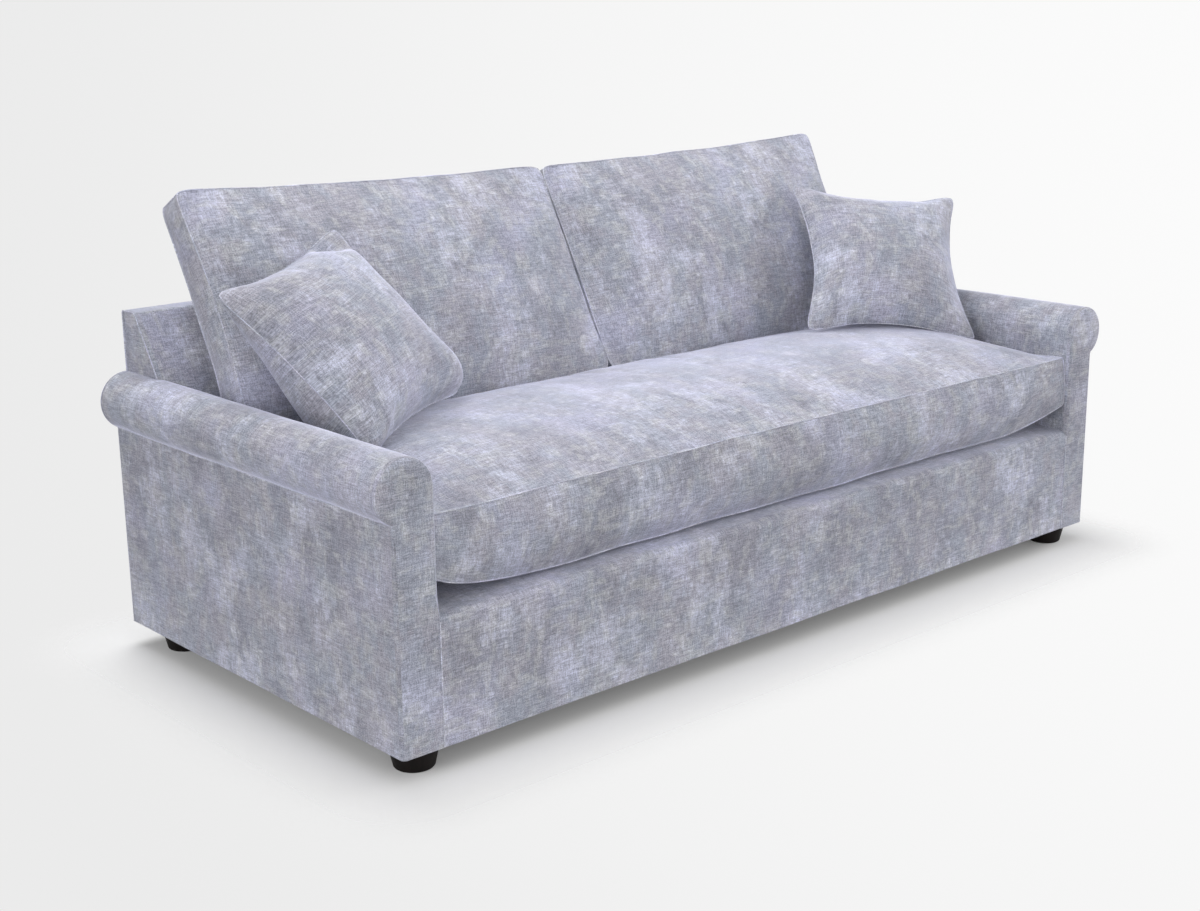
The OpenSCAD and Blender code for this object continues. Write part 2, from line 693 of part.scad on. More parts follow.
// A scatter cushion, or its filling where it is set in from the seams
module scatter_form(side, edge, steps, inset) {
    turn = side == "left" ? turn_left : turn_right;
    on_side(side) translate(side == "left" ? middle_left : middle_right) ringed_form(
        scatter_local(turn, 0, 0, -1, inset),
        concat(
            [for (s = steps) [for (p = edge) scatter_local(turn, s * p.x, s * p.y, -1, inset)]],
            [for (i = [len(steps) - 2 : -1 : 0]) let (s = steps[i])
                [for (p = edge) scatter_local(turn, s * p.x, s * p.y, 1, inset)]]
        ),
        scatter_local(turn, 0, 0, 1, inset)
    );
}

module scatter_cushion_cover(side) color([0.70, 0.72, 0.80]) in_place() difference() {
    scatter_form(side, rim(10), FINE_STEPS, 0);
    scatter_form(side, rim(6), PLAIN_STEPS, 9 - fit);
}

module scatter_cushion_pad(side) color("ivory") in_place() scatter_form(side, rim(6), PLAIN_STEPS, 9);

front_rail();
spring_rail();
rear_rail();
stretchers();
foot_blocks();
foot_bolts();
tee_nuts();
for (side = SIDE_NAMES) {
    side_rail(side);
    arm_board(side, skin_t);
    arm_board(side, board_rear);
    arm_top_rail(side);
    arm_lining(side);
    arm_wadding(side);
    arm_cover(side);
    arm_facing(side);
    arm_outside_panel(side);
    on_side(side) back_post(arm_in - side_gap);
    back_end_board(side);
    back_end_facing(side);
    foot(side, foot_front);
    foot(side, body_d - foot_rear);
    back_cushion_cover(side);
    back_cushion_pad(side);
    scatter_cushion_cover(side);
    scatter_cushion_pad(side);
}
back_post(board_t / 2);  // back_post_middle
back_top_rail();
back_foot_rail();
back_webbing();
back_wadding();
back_cover();
outside_back_panel();
seat_springs();
spring_clips();
tie_wires();
deck();
front_wadding();
front_cover();
dust_cover();
seat_cushion_cover();
seat_cushion_core();
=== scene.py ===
"""Three-seater sofa with rolled arms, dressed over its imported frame.

The frame brings the timber, springs, webbing and feet.  The classes below make the upholstery round them,
in the order in which a workshop would: covers, then cushions, then the studio that shows them.
All lengths are in metres, with the front of the arms at Y = -0.5 and the floor at Z = 0.
"""

from __future__ import annotations

import json
import logging
import math
from collections.abc import Callable, Sequence
from dataclasses import dataclass
from enum import Enum

import bmesh
import bpy
import numpy as np
from mathutils import Matrix, Vector, noise

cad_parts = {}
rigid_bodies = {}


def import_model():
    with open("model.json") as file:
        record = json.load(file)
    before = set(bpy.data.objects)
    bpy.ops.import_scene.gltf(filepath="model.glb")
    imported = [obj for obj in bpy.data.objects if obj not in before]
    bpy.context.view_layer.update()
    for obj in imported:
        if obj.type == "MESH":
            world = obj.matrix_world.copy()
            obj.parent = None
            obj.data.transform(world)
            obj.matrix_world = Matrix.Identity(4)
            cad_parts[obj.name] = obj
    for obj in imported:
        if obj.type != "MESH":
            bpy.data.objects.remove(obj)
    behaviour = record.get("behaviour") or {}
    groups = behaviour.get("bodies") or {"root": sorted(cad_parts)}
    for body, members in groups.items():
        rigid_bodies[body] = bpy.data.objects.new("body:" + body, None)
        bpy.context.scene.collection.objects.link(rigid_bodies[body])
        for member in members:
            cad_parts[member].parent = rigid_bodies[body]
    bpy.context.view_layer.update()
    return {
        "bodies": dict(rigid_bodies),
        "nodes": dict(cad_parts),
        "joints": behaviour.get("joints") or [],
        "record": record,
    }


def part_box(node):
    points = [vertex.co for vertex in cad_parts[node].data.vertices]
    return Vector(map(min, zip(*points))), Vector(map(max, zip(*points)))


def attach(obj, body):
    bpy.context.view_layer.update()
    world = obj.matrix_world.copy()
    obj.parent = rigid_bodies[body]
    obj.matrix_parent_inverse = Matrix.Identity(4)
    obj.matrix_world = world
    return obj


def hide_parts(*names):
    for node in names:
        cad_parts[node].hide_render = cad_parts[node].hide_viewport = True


LOG = logging.getLogger("sofa")
Array = np.ndarray
Piece = bpy.types.Object
Socket = bpy.types.NodeSocket
Spot = tuple[float, float]
Triple = tuple[float, float, float]
FRAME_BODY = "frame"
CLOTH_MAP = "cloth"
SEWN = "sewn"
HAIR = 1e-4
WELT = 0.0013


class Side(Enum):
    """The two ends of the sofa, as someone in front of it sees them."""

    LEFT = -1
    RIGHT = 1

    @property
    def word(self) -> str:
        """Gives the word that ends the names of this side's pieces."""
        return self.name.lower()


class Layer(Enum):
    """Axis along which an outline is pulled out."""

    ALONG_X = 0
    ALONG_Y = 1


@dataclass(frozen=True)
class Sizes:
    """Main sizes of the frame, the same as those of its timber."""

    front: float = -0.5
    rear: float = 0.5
    foot: float = 0.047
    low_edge: float = 0.279
    arm_in: float = 0.960
    arm_out: float = 1.050
    roll_x: float = 1.022
    roll_r: float = 0.062
    roll_z: float = 0.536
    deck: float = 0.298
    back_top: float = 0.726
    back_top_t: float = 0.053
    back_rake: float = 32.0
    back_end: float = 1.018
    above_roll: float = 0.03
    skin: float = 0.012
    panel: float = 0.006
    cover: float = 0.0025

    @property
    def crease(self) -> float:
        """Height of the crease where the roll meets the outside of the arm."""
        return self.roll_z - math.sqrt(self.roll_r**2 - (self.arm_out - self.roll_x) ** 2)

    def roll_angle(self, x: float) -> float:
        """Angle in degrees, from level, at which the roll reaches x."""
        return math.degrees(math.acos((x - self.roll_x) / self.roll_r))

    def back_face(self, z: float) -> float:
        """Depth of the inside back at height z."""
        return self.rear - self.back_top_t - (self.back_top - z) * math.tan(math.radians(self.back_rake))


SOFA = Sizes()


def srgb(red: int, green: int, blue: int) -> Triple:
    """Turns a screen colour of 0 to 255 into the linear colour that a shader takes."""
    shares = (value / 255 for value in (red, green, blue))
    return tuple(share / 12.92 if share <= 0.04045 else ((share + 0.055) / 1.055) ** 2.4 for share in shares)


class Graph:
    """Adds nodes to a shader tree in few words."""

    def __init__(self, tree: bpy.types.NodeTree) -> None:
        """Starts on an emptied tree."""
        self.tree = tree
        tree.nodes.clear()

    def feed(self, node: bpy.types.Node, inputs: dict) -> None:
        """Gives a node's inputs their values.

        Args:
            node: The node.
            inputs: Value or socket for each input, by name or number.
        """
        for key, value in inputs.items():
            if isinstance(value, Socket):
                self.tree.links.new(value, node.inputs[key])
            else:
                node.inputs[key].default_value = value

    def add(self, kind: str, inputs: dict | None = None, **settings: object) -> bpy.types.Node:
        """Adds a node.

        Args:
            kind: Type of the node without its ShaderNode prefix.
            inputs: Value or socket for each input, by name or number.
            **settings: Properties of the node.

        Returns:
            The new node.
        """
        node = self.tree.nodes.new(kind if kind.startswith("Node") else "ShaderNode" + kind)
        for key, value in settings.items():
            setattr(node, key, value)
        self.feed(node, inputs or {})
        return node

    def math(self, operation: str, first: object, second: object = 0.0) -> Socket:
        """Adds a Math node and returns its output."""
        return self.add("Math", {0: first, 1: second}, operation=operation).outputs[0]

    def times(self, first: object, second: object) -> Socket:
        """Multiplies two values."""
        return self.math("MULTIPLY", first, second)

    def mean(self, first: Socket, second: Socket, share: float = 0.5) -> Socket:
        """Adds up two values, of which the first counts by its share and the second by the rest."""
        return self.math("ADD", self.times(first, share), self.times(second, 1 - share))

    def vector(self, operation: str, first: object, second: Triple = (0.0, 0.0, 0.0), out: int = 0) -> Socket:
        """Adds a Vector Math node and returns the chosen output."""
        return self.add("VectorMath", {0: first, 1: second}, operation=operation).outputs[out]

    def cloud(
        self, vector: Socket, stretch: Triple, seed: float, scale: float, detail: float, rough: float,
    ) -> Socket:
        """Adds a noise over a vector that is stretched along each axis and moved by a seed."""
        place = self.add("Mapping", {0: vector, 1: (seed, seed * 0.7, seed * 0.3), 3: stretch}).outputs[0]
        return self.add("TexNoise", {0: place, 2: scale, 3: detail, 4: rough}).outputs[0]

    def ramp(self, value: Socket, low: float, high: float, to: Spot = (0.0, 1.0)) -> Socket:
        """Maps a value smoothly from low..high to the two ends of to."""
        kit = {0: value, 1: low, 2: high, 3: to[0], 4: to[1]}
        return self.add("MapRange", kit, interpolation_type="SMOOTHSTEP").outputs[0]

    def blend(self, share: object, first: object, second: object, mode: str = "MIX") -> Socket:
        """Mixes two colours, or the sockets of two, by how much the second counts."""
        ends = [(*end, 1.0) if isinstance(end, tuple) else end for end in (first, second)]
        return self.add(
            "Mix", {0: share, 6: ends[0], 7: ends[1]}, data_type="RGBA", blend_type=mode,
        ).outputs[2]


@dataclass(frozen=True)
class Threads:
    """The threads, slubs and grain of a cloth, as a group that its materials share."""

    warp: tuple[Triple, float] = ((1.25, 0.32, 1.0), 9.1)
    weft: tuple[Triple, float] = ((0.42, 1.4, 1.0), 6.3)
    count: float = 150.0
    slub: float = 100.0
    grain: float = 480.0

    def group(self) -> bpy.types.NodeTree:
        """Builds the group.

        Returns:
            The tree that turns a cloth's own directions into slubs, grain, warp and weft.
        """
        tree = bpy.data.node_groups.new("slubs", "ShaderNodeTree")
        tree.interface.new_socket("Vector", in_out="INPUT", socket_type="NodeSocketVector")
        thread = tree.interface.new_socket("Thread", in_out="INPUT", socket_type="NodeSocketFloat")
        thread.default_value = 1.0
        for word in ("Slubs", "Grain", "Warp", "Weft"):
            tree.interface.new_socket(word, in_out="OUTPUT", socket_type="NodeSocketFloat")
        graph = Graph(tree)
        start, end = graph.add("NodeGroupInput"), graph.add("NodeGroupOutput")
        vector, much = start.outputs["Vector"], start.outputs["Thread"]
        up = graph.cloud(vector, (3.4, 0.34, 1.0), 0.0, self.count, 1.0, 0.6)
        across = graph.cloud(vector, (0.34, 3.4, 1.0), 3.1, self.count, 1.0, 0.6)
        fine = graph.cloud(vector, (1.0, 1.0, 1.0), 7.7, self.grain, 1.0, 0.7)
        slubs = graph.mean(up, across)
        graph.feed(end, {
            "Slubs": graph.times(slubs, much),
            "Grain": graph.times(graph.mean(slubs, fine, 0.4), much),
        })
        for word, (stretch, seed) in (("Warp", self.warp), ("Weft", self.weft)):
            bars = graph.cloud(vector, stretch, seed, self.slub, 2.0, 0.5)
            wide = (stretch[0] * 0.4, stretch[1] * 0.3, 1.0)
            graph.feed(end, {
                word: graph.mean(bars, graph.cloud(vector, wide, seed, self.slub, 1.0, 0.5), 0.7),
            })
        return tree


def new_material(name: str) -> tuple[bpy.types.Material, Graph, bpy.types.Node]:
    """Makes a material with a Principled shader.

    Args:
        name: Name of the material.

    Returns:
        The material, a Graph on its tree and its Principled node.
    """
    material = bpy.data.materials.new(name)
    material.use_nodes = True
    graph = Graph(material.node_tree)
    shader = graph.add("BsdfPrincipled")
    graph.add("OutputMaterial", {"Surface": shader.outputs[0]})
    return material, graph, shader


@dataclass(frozen=True)
class Blotch:
    """A colour that clouds the cloth in blotches, whose edges break up along the threads or are soft."""

    colour: Triple
    share: float
    scale: float
    span: Spot
    seed: float
    tall: float = 0.65
    soft: bool = False

    def mask(self, graph: Graph, cloth: Socket, thread: Socket) -> Socket:
        """Makes the mask of the blotches, which reaches their share.

        Args:
            graph: The graph to add to.
            cloth: Vector of the cloth map.
            thread: Noise of the threads.

        Returns:
            The mask.
        """
        detail, rough = (1.0, 0.4) if self.soft else (3.0, 0.55)
        cloud = graph.cloud(cloth, (1.0, self.tall, 1.0), self.seed, self.scale, detail, rough)
        return graph.ramp(
            cloud if self.soft else graph.math("ADD", cloud, thread), *self.span, (0.0, self.share),
        )


@dataclass(frozen=True)
class WashedVelvet:
    """The sofa's cloth: a slubby velvet, clouded by its washing."""

    name: str = "washed_velvet"
    ground: Triple = srgb(165, 164, 175)
    slate: Blotch = Blotch(srgb(158, 162, 175), 1.0, 14.0, (0.66, 0.89), 1.3, 0.7)
    shade: Blotch = Blotch(srgb(141, 142, 154), 0.7, 13.0, (0.74, 0.93), 2.2)
    glow: Blotch = Blotch(srgb(198, 198, 226), 0.34, 5.5, (0.48, 0.72), 3.7, 0.9, True)
    bloom: Blotch = Blotch(srgb(208, 210, 229), 0.5, 10.0, (0.77, 0.98), 5.5)
    fleck: Triple = srgb(204, 204, 202)
    fleck_share: float = 0.34
    fleck_scale: float = 27.0
    fleck_span: Spot = (0.52, 0.68)
    pale_span: Spot = (0.36, 0.60)
    pale_low: float = 0.25
    slub_tone: float = 0.15
    streak_tone: float = 0.12
    grain_tone: float = 0.34
    # Overall brightness of the cloth. The seam cloth's larger lift is painted highlight along the welts.
    lift: float = 0.93
    sheen: float = 1.0
    sheen_tint: Triple = srgb(226, 228, 250)

    def patch(self, graph: Graph, cloth: Socket, thread: Socket, stretch: Triple, seed: float) -> Socket:
        """Makes a mask of soft patches in which the pale threads of one direction show.

        Args:
            graph: The graph to add to.
            cloth: Vector of the cloth map.
            thread: Noise of the threads of that direction.
            stretch: Scale of the patches along each axis.
            seed: Where in the noise they lie.

        Returns:
            The mask.
        """
        cloud = graph.cloud(cloth, stretch, seed, self.fleck_scale, 1.5, 0.5)
        pale = graph.ramp(thread, *self.pale_span, (self.pale_low, 1.0))
        return graph.times(graph.ramp(cloud, *self.fleck_span, (0.0, self.fleck_share)), pale)

    def tone(self, graph: Graph, value: Socket, amount: float, level: float = 1.0) -> Socket:
        """Turns a noise into a factor that varies by an amount round a level."""
        return graph.ramp(value, 0.3, 0.7, ((1 - amount) * level, (1 + amount) * level))

    def material(self, threads: bpy.types.NodeTree) -> bpy.types.Material:
        """Builds the cloth's material.

        Args:
            threads: The shared group of the threads.

        Returns:
            The finished material.
        """
        material, graph, shader = new_material(self.name)
        cloth = graph.add("UVMap", uv_map=CLOTH_MAP).outputs[0]
        noises = graph.add("Group", node_tree=threads)
        graph.feed(noises, {"Vector": cloth})
        slubs, grain, warp, weft = noises.outputs
        both = graph.times(graph.math("ADD", warp, weft), 0.5)
        thread = graph.times(both, 0.55)
        colour = self.ground
        for blotch in (self.slate, self.shade, self.glow, self.bloom):
            colour = graph.blend(blotch.mask(graph, cloth, thread), colour, blotch.colour)
        upright = self.patch(graph, cloth, warp, (1.35, 0.75, 1.0), 8.8)
        across = self.patch(graph, cloth, weft, (0.75, 1.35, 1.0), 4.4)
        colour = graph.blend(graph.math("MAXIMUM", upright, across), colour, self.fleck)
        tone = graph.times(
            self.tone(graph, slubs, self.slub_tone, self.lift),
            self.tone(graph, both, self.streak_tone),
        )
        tone = graph.times(tone, self.tone(graph, grain, self.grain_tone))
        grey = graph.add("CombineColor", {0: tone, 1: tone, 2: tone}).outputs[0]
        graph.feed(shader, {
            "Base Color": graph.blend(1.0, colour, grey, "MULTIPLY"),
            "Roughness": graph.ramp(grain, 0.3, 0.7, (0.92, 0.76)),
            "Normal": graph.add("Bump", {"Strength": 0.35, "Distance": 0.0008, "Height": grain}).outputs[0],
            "Specular IOR Level": 0.2,
            "Sheen Weight": self.sheen,
            "Sheen Roughness": 0.32,
            "Sheen Tint": (*self.sheen_tint, 1.0),
        })
        return material


@dataclass(frozen=True)
class Grained:
    """A finish with a plain grain through its object's own directions."""

    name: str
    base: Triple
    dark: Triple
    scale: float
    stretch: Triple = (1.0, 1.0, 1.0)
    roughness: float = 0.6
    metallic: float = 0.0
    bump: float = 0.2
    gloss: float = 0.5

    def material(self) -> bpy.types.Material:
        """Builds the finish's material.

        Returns:
            The finished material.
        """
        material, graph, shader = new_material(self.name)
        place = graph.add("TexCoord").outputs["Object"]
        wide = graph.cloud(place, self.stretch, 0.0, self.scale, 4.0, 0.6)
        both = graph.mean(wide, graph.cloud(place, self.stretch, 3.0, self.scale * 6, 2.0, 0.6), 0.7)
        spread = (self.roughness - 0.08, min(1.0, self.roughness + 0.08))
        graph.feed(shader, {
            "Base Color": graph.blend(graph.ramp(both, 0.35, 0.68), self.base, self.dark),
            "Roughness": graph.ramp(both, 0.3, 0.7, spread),
            "Normal": graph.add(
                "Bump", {"Strength": self.bump, "Distance": 0.001, "Height": both},
            ).outputs[0],
            "Metallic": self.metallic,
            "Specular IOR Level": self.gloss,
        })
        return material


def inner_finishes() -> dict[str, Grained]:
    """Lists the finishes of the pieces that the frame brings.

    Returns:
        The finish of each material slot.
    """
    soft = 0.95
    return {
        "dark_wood": Grained(
            "black_stained_wood", srgb(17, 11, 10), srgb(8, 6, 5), 30.0, (3, 3, 0.4), gloss=0.15,
        ),
        "timber": Grained(
            "sawn_timber", srgb(206, 170, 124), srgb(166, 126, 84), 14.0, (0.4, 4, 4), 0.7, bump=0.4,
        ),
        "hardboard": Grained(
            "bent_hardboard", srgb(140, 104, 72), srgb(112, 80, 54), 90.0, roughness=0.7,
        ),
        "wadding": Grained(
            "white_wadding", srgb(236, 236, 232), srgb(216, 216, 210), 60.0, roughness=soft, bump=0.8,
        ),
        "foam": Grained(
            "cut_foam", srgb(238, 226, 180), srgb(222, 206, 154), 300.0, roughness=soft, bump=0.5,
        ),
        "webbing": Grained(
            "black_webbing", srgb(58, 58, 60), srgb(36, 36, 38), 200.0, (1, 4, 0.5), 0.85, bump=0.6,
        ),
        "felt": Grained(
            "grey_felt", srgb(150, 152, 162), srgb(128, 130, 142), 160.0, roughness=soft, bump=0.7,
        ),
        "dust_cloth": Grained(
            "black_dust_cloth", srgb(34, 34, 36), srgb(22, 22, 24), 240.0, roughness=soft, bump=0.5,
        ),
        "steel": Grained(
            "bright_wire", srgb(176, 178, 182), srgb(140, 142, 148), 50.0, roughness=0.35, metallic=1.0,
        ),
    }


def clear_selection() -> None:
    """Leaves edit mode and deselects every object."""
    if bpy.context.object and bpy.context.object.mode != "OBJECT":
        bpy.ops.object.mode_set(mode="OBJECT")
    bpy.ops.object.select_all(action="DESELECT")


def take(piece: Piece) -> None:
    """Makes a piece the only selected one, and the active one.

    Args:
        piece: The piece to take.
    """
    clear_selection()
    piece.select_set(True)
    bpy.context.view_layer.objects.active = piece


def edit(piece: Piece, kind: str) -> None:
    """Enters edit mode on a piece with nothing selected.

    Args:
        piece: The piece to edit.
        kind: What is picked: VERT, EDGE or FACE.
    """
    take(piece)
    bpy.ops.object.mode_set(mode="EDIT")
    bpy.ops.mesh.select_mode(type=kind)
    bpy.ops.mesh.select_all(action="DESELECT")


def apply_modifier(piece: Piece, kind: str, **settings: object) -> None:
    """Adds a modifier to a piece and applies it.

    Args:
        piece: The piece to change.
        kind: Type of the modifier.
        **settings: Properties of the modifier.
    """
    take(piece)
    modifier = piece.modifiers.new(kind.lower(), kind)
    for key, value in settings.items():
        setattr(modifier, key, value)
    bpy.ops.object.modifier_apply(modifier=modifier.name)


def pick_edges(piece: Piece, test: Callable[[Vector, Vector], bool]) -> None:
    """Enters edit mode with the edges selected whose two ends pass a test.

    Args:
        piece: The piece to edit.
        test: Test on the two ends of an edge.
    """
    edit(piece, "EDGE")
    mesh = bmesh.from_edit_mesh(piece.data)
    for edge in mesh.edges:
        edge.select_set(test(edge.verts[0].co, edge.verts[1].co))
    bmesh.update_edit_mesh(piece.data)


def round_edges(piece: Piece, width: float, test: Callable[[Vector, Vector], bool], steps: int = 4) -> None:
    """Bevels the edges of a piece that pass a test.

    Args:
        piece: The piece to change.
        width: Width of the bevel.
        test: Test on the two ends of an edge.
        steps: Segments across the bevel.
    """
    pick_edges(piece, test)
    bpy.ops.mesh.bevel(offset=width, segments=steps, profile=0.5, affect="EDGES", clamp_overlap=True)
    bpy.ops.object.mode_set(mode="OBJECT")


def read(source: bpy.types.bpy_prop_collection, word: str, width: int = 1, kind: type = float) -> Array:
    """Reads one property of all vertices, faces or corners of a mesh.

    Args:
        source: The mesh's vertices, polygons or loops.
        word: Name of the property.
        width: Numbers in one of its values.
        kind: Type of its numbers.

    Returns:
        The values, one row each where they have more than one number.
    """
    values = np.empty(len(source) * width, dtype=np.int64 if kind is int else float)
    source.foreach_get(word, values)
    return values.reshape(-1, width) if width > 1 else values


ClothRule = Callable[[Array, Array], Array]


def lay_cloth(piece: Piece, rule: ClothRule, shift: Spot = (0.0, 0.0)) -> None:
    """Lays a cloth map, in metres, on a piece.

    Args:
        piece: The piece that gets the map.
        rule: Gives across and along the cloth from places and face normals.
        shift: Where on the roll of cloth the piece was cut.
    """
    mesh = piece.data
    places = read(mesh.vertices, "co", 3)[read(mesh.loops, "vertex_index", kind=int)]
    normals = np.repeat(read(mesh.polygons, "normal", 3), read(mesh.polygons, "loop_total", kind=int), axis=0)
    flat = rule(places, normals) + np.array(shift)
    layer = mesh.uv_layers.get(CLOTH_MAP) or mesh.uv_layers.new(name=CLOTH_MAP)
    layer.data.foreach_set("uv", flat.astype(np.float32).ravel())


def box_cloth(places: Array, normals: Array) -> Array:
    """Lays cloth flat on each face, with its warp upright, or from front to back on a level face.

    Args:
        places: Place of each corner of the faces.
        normals: Normal of the face at each corner.

    Returns:
        Across and along the cloth, in metres.
    """
    lead = np.abs(normals)
    across = np.where((lead[:, 0] > lead[:, 1]) & (lead[:, 0] > lead[:, 2]), places[:, 1], places[:, 0])
    along = np.where((lead[:, 2] > lead[:, 0]) & (lead[:, 2] > lead[:, 1]), places[:, 1], places[:, 2])
    return np.stack([across, along], axis=1)


def welt_cloth(places: Array, normals: Array) -> Array:
    """Lays cloth on a thin welt, whichever way it runs."""
    return places[:, :2] + places[:, 2:3]


def dress(piece: Piece, shift: Spot, rule: ClothRule = box_cloth, sharp: float = 40.0) -> Piece:
    """Shades a piece smooth, except across sharp edges, and lays its cloth.

    Args:
        piece: The piece to dress.
        shift: Where on the roll of cloth it was cut.
        rule: How the cloth lies on it.
        sharp: Angle in degrees from which an edge is sharp.

    Returns:
        The same piece.
    """
    take(piece)
    bpy.ops.object.shade_smooth_by_angle(angle=math.radians(sharp))
    lay_cloth(piece, rule, shift)
    return piece


def ruffle(piece: Piece, height: float, size: float, seed: float = 0.0) -> None:
    """Gives a padded surface the slight unevenness of what is under its cloth.

    Args:
        piece: The piece to change.
        height: Largest distance that a point moves along its normal.
        size: Distance between two hollows.
        seed: Where in the noise the piece lies.
    """
    offset = Vector((seed * 3.7, seed * 1.9, seed * 5.3))
    mesh = piece.data
    normals = [vertex.normal.copy() for vertex in mesh.vertices]
    for vertex, normal in zip(mesh.vertices, normals):
        vertex.co += normal * height * noise.noise(vertex.co / size + offset)


class Outline:
    """An outline drawn point by point in an upright plane, then pulled out sideways."""

    def __init__(self, name: str, layer: Layer, at: float, start: Spot) -> None:
        """Starts an outline.

        Args:
            name: Name of the piece.
            layer: Axis along which the outline is pulled out.
            at: Where on that axis the outline lies.
            start: First point, as its level place and its height.
        """
        clear_selection()
        self.layer = layer
        self.at = at
        self.spot = start
        bpy.ops.mesh.primitive_plane_add(size=0.01, location=self.place(start))
        self.piece = bpy.context.object
        self.piece.name = self.piece.data.name = name
        bpy.ops.object.transform_apply(location=True, rotation=True, scale=True)
        bpy.ops.object.mode_set(mode="EDIT")
        bpy.ops.mesh.select_mode(type="VERT")
        bpy.ops.mesh.select_all(action="SELECT")
        bpy.ops.mesh.merge(type="CENTER")

    def place(self, spot: Spot) -> Vector:
        """Gives the point in space of a spot in the outline's plane."""
        along_y = self.layer is Layer.ALONG_Y
        return Vector((spot[0], self.at, spot[1]) if along_y else (self.at, spot[0], spot[1]))

    def line(self, spot: Spot, steps: int = 1) -> Outline:
        """Draws a straight line to a spot.

        Args:
            spot: Its end, as a level place and a height.
            steps: Equal steps on the way.

        Returns:
            The outline.
        """
        part = (self.place(spot) - self.place(self.spot)) / steps
        for _ in range(steps):
            bpy.ops.mesh.extrude_vertices_move(TRANSFORM_OT_translate={"value": part})
        self.spot = spot
        return self

    def arc(self, centre: Spot, radius: float, first: float, last: float, steps: int) -> Outline:
        """Draws an arc round a centre.

        Args:
            centre: The centre.
            radius: The radius.
            first: Angle from level at which it starts, in degrees.
            last: Angle at which it ends.
            steps: Straight parts that make it up.

        Returns:
            The outline.
        """
        for step in range(1, steps + 1):
            angle = math.radians(first + (last - first) * step / steps)
            self.line((centre[0] + radius * math.cos(angle), centre[1] + radius * math.sin(angle)))
        return self

    def close(self) -> Outline:
        """Closes the outline and fills it with a face.

        Returns:
            The outline.
        """
        bpy.ops.mesh.select_all(action="SELECT")
        bpy.ops.mesh.remove_doubles(threshold=1e-5)
        bpy.ops.mesh.edge_face_add()
        return self

    def pull(self, end: float, steps: int = 1) -> Piece:
        """Pulls the outline out along its axis and leaves edit mode.

        Args:
            end: Where on the axis it ends.
            steps: Equal steps on the way.

        Returns:
            The new piece, with its faces pointing outwards.
        """
        part = (end - self.at) / steps
        value = (0, part, 0) if self.layer is Layer.ALONG_Y else (part, 0, 0)
        bpy.ops.mesh.select_all(action="SELECT")
        for _ in range(steps):
            bpy.ops.mesh.extrude_region_move(TRANSFORM_OT_translate={"value": value})
        bpy.ops.mesh.select_all(action="SELECT")
        bpy.ops.mesh.normals_make_consistent(inside=False)
        bpy.ops.object.mode_set(mode="OBJECT")
        return self.piece


@dataclass
class Workshop:
    """Holds the materials and hands each finished piece over to the frame."""

    velvet: bpy.types.Material
    # The seam cloth, lighter than the velvet: painted highlight on the welts.
    seam: bpy.types.Material
    inner: dict[str, bpy.types.Material]

    def fit(
        self, piece: Piece, nodes: Sequence[str] = (), body: str = FRAME_BODY, seam: bool = False,
    ) -> None:
        """Dresses a piece, mounts it on its body and reports it.

        Args:
            piece: The finished piece.
            nodes: Nodes of the frame that it stands for.
            body: The body that it moves with.
            seam: Whether it is a seam and takes the seam's lighter cloth, whose extra lightness is painted
                highlight.
        """
        piece.data.materials.clear()
        piece.data.materials.append(self.seam if seam else self.velvet)
        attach(piece, body)
        if nodes:
            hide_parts(*nodes)
        LOG.info("%s: %d faces on %s", piece.name, len(piece.data.polygons), body)

    def welt(self, name: str, path: Sequence[Sequence[float]], radius: float = WELT) -> None:
        """Makes and fits the thin raised line of a seam on the frame, in the seam cloth whose extra lightness
        is painted highlight.

        Args:
            name: Name of the piece.
            path: Points along the seam.
            radius: Half its thickness.
        """
        clear_selection()
        data = bpy.data.curves.new(name, "CURVE")
        data.dimensions = "3D"
        data.bevel_depth = radius
        data.bevel_resolution = 2
        data.use_fill_caps = True
        spline = data.splines.new("POLY")
        spline.points.add(len(path) - 1)
        for point, place in zip(spline.points, path):
            point.co = (*place, 1.0)
        piece = bpy.data.objects.new(name, data)
        bpy.context.collection.objects.link(piece)
        take(piece)
        bpy.ops.object.convert(target="MESH")
        bpy.ops.object.shade_smooth()
        lay_cloth(bpy.context.object, welt_cloth)
        self.fit(bpy.context.object, seam=True)


def mirrored(piece: Piece, name: str) -> Piece:
    """Copies a piece to the other side of the sofa, with a mesh of its own.

    Args:
        piece: The piece to copy.
        name: Name of the copy.

    Returns:
        The copy, with its faces pointing outwards.
    """
    take(piece)
    bpy.ops.object.duplicate()
    copy = bpy.context.object
    copy.name = copy.data.name = name
    copy.data.transform(Matrix.Diagonal((-1, 1, 1, 1)))
    copy.data.flip_normals()
    return copy


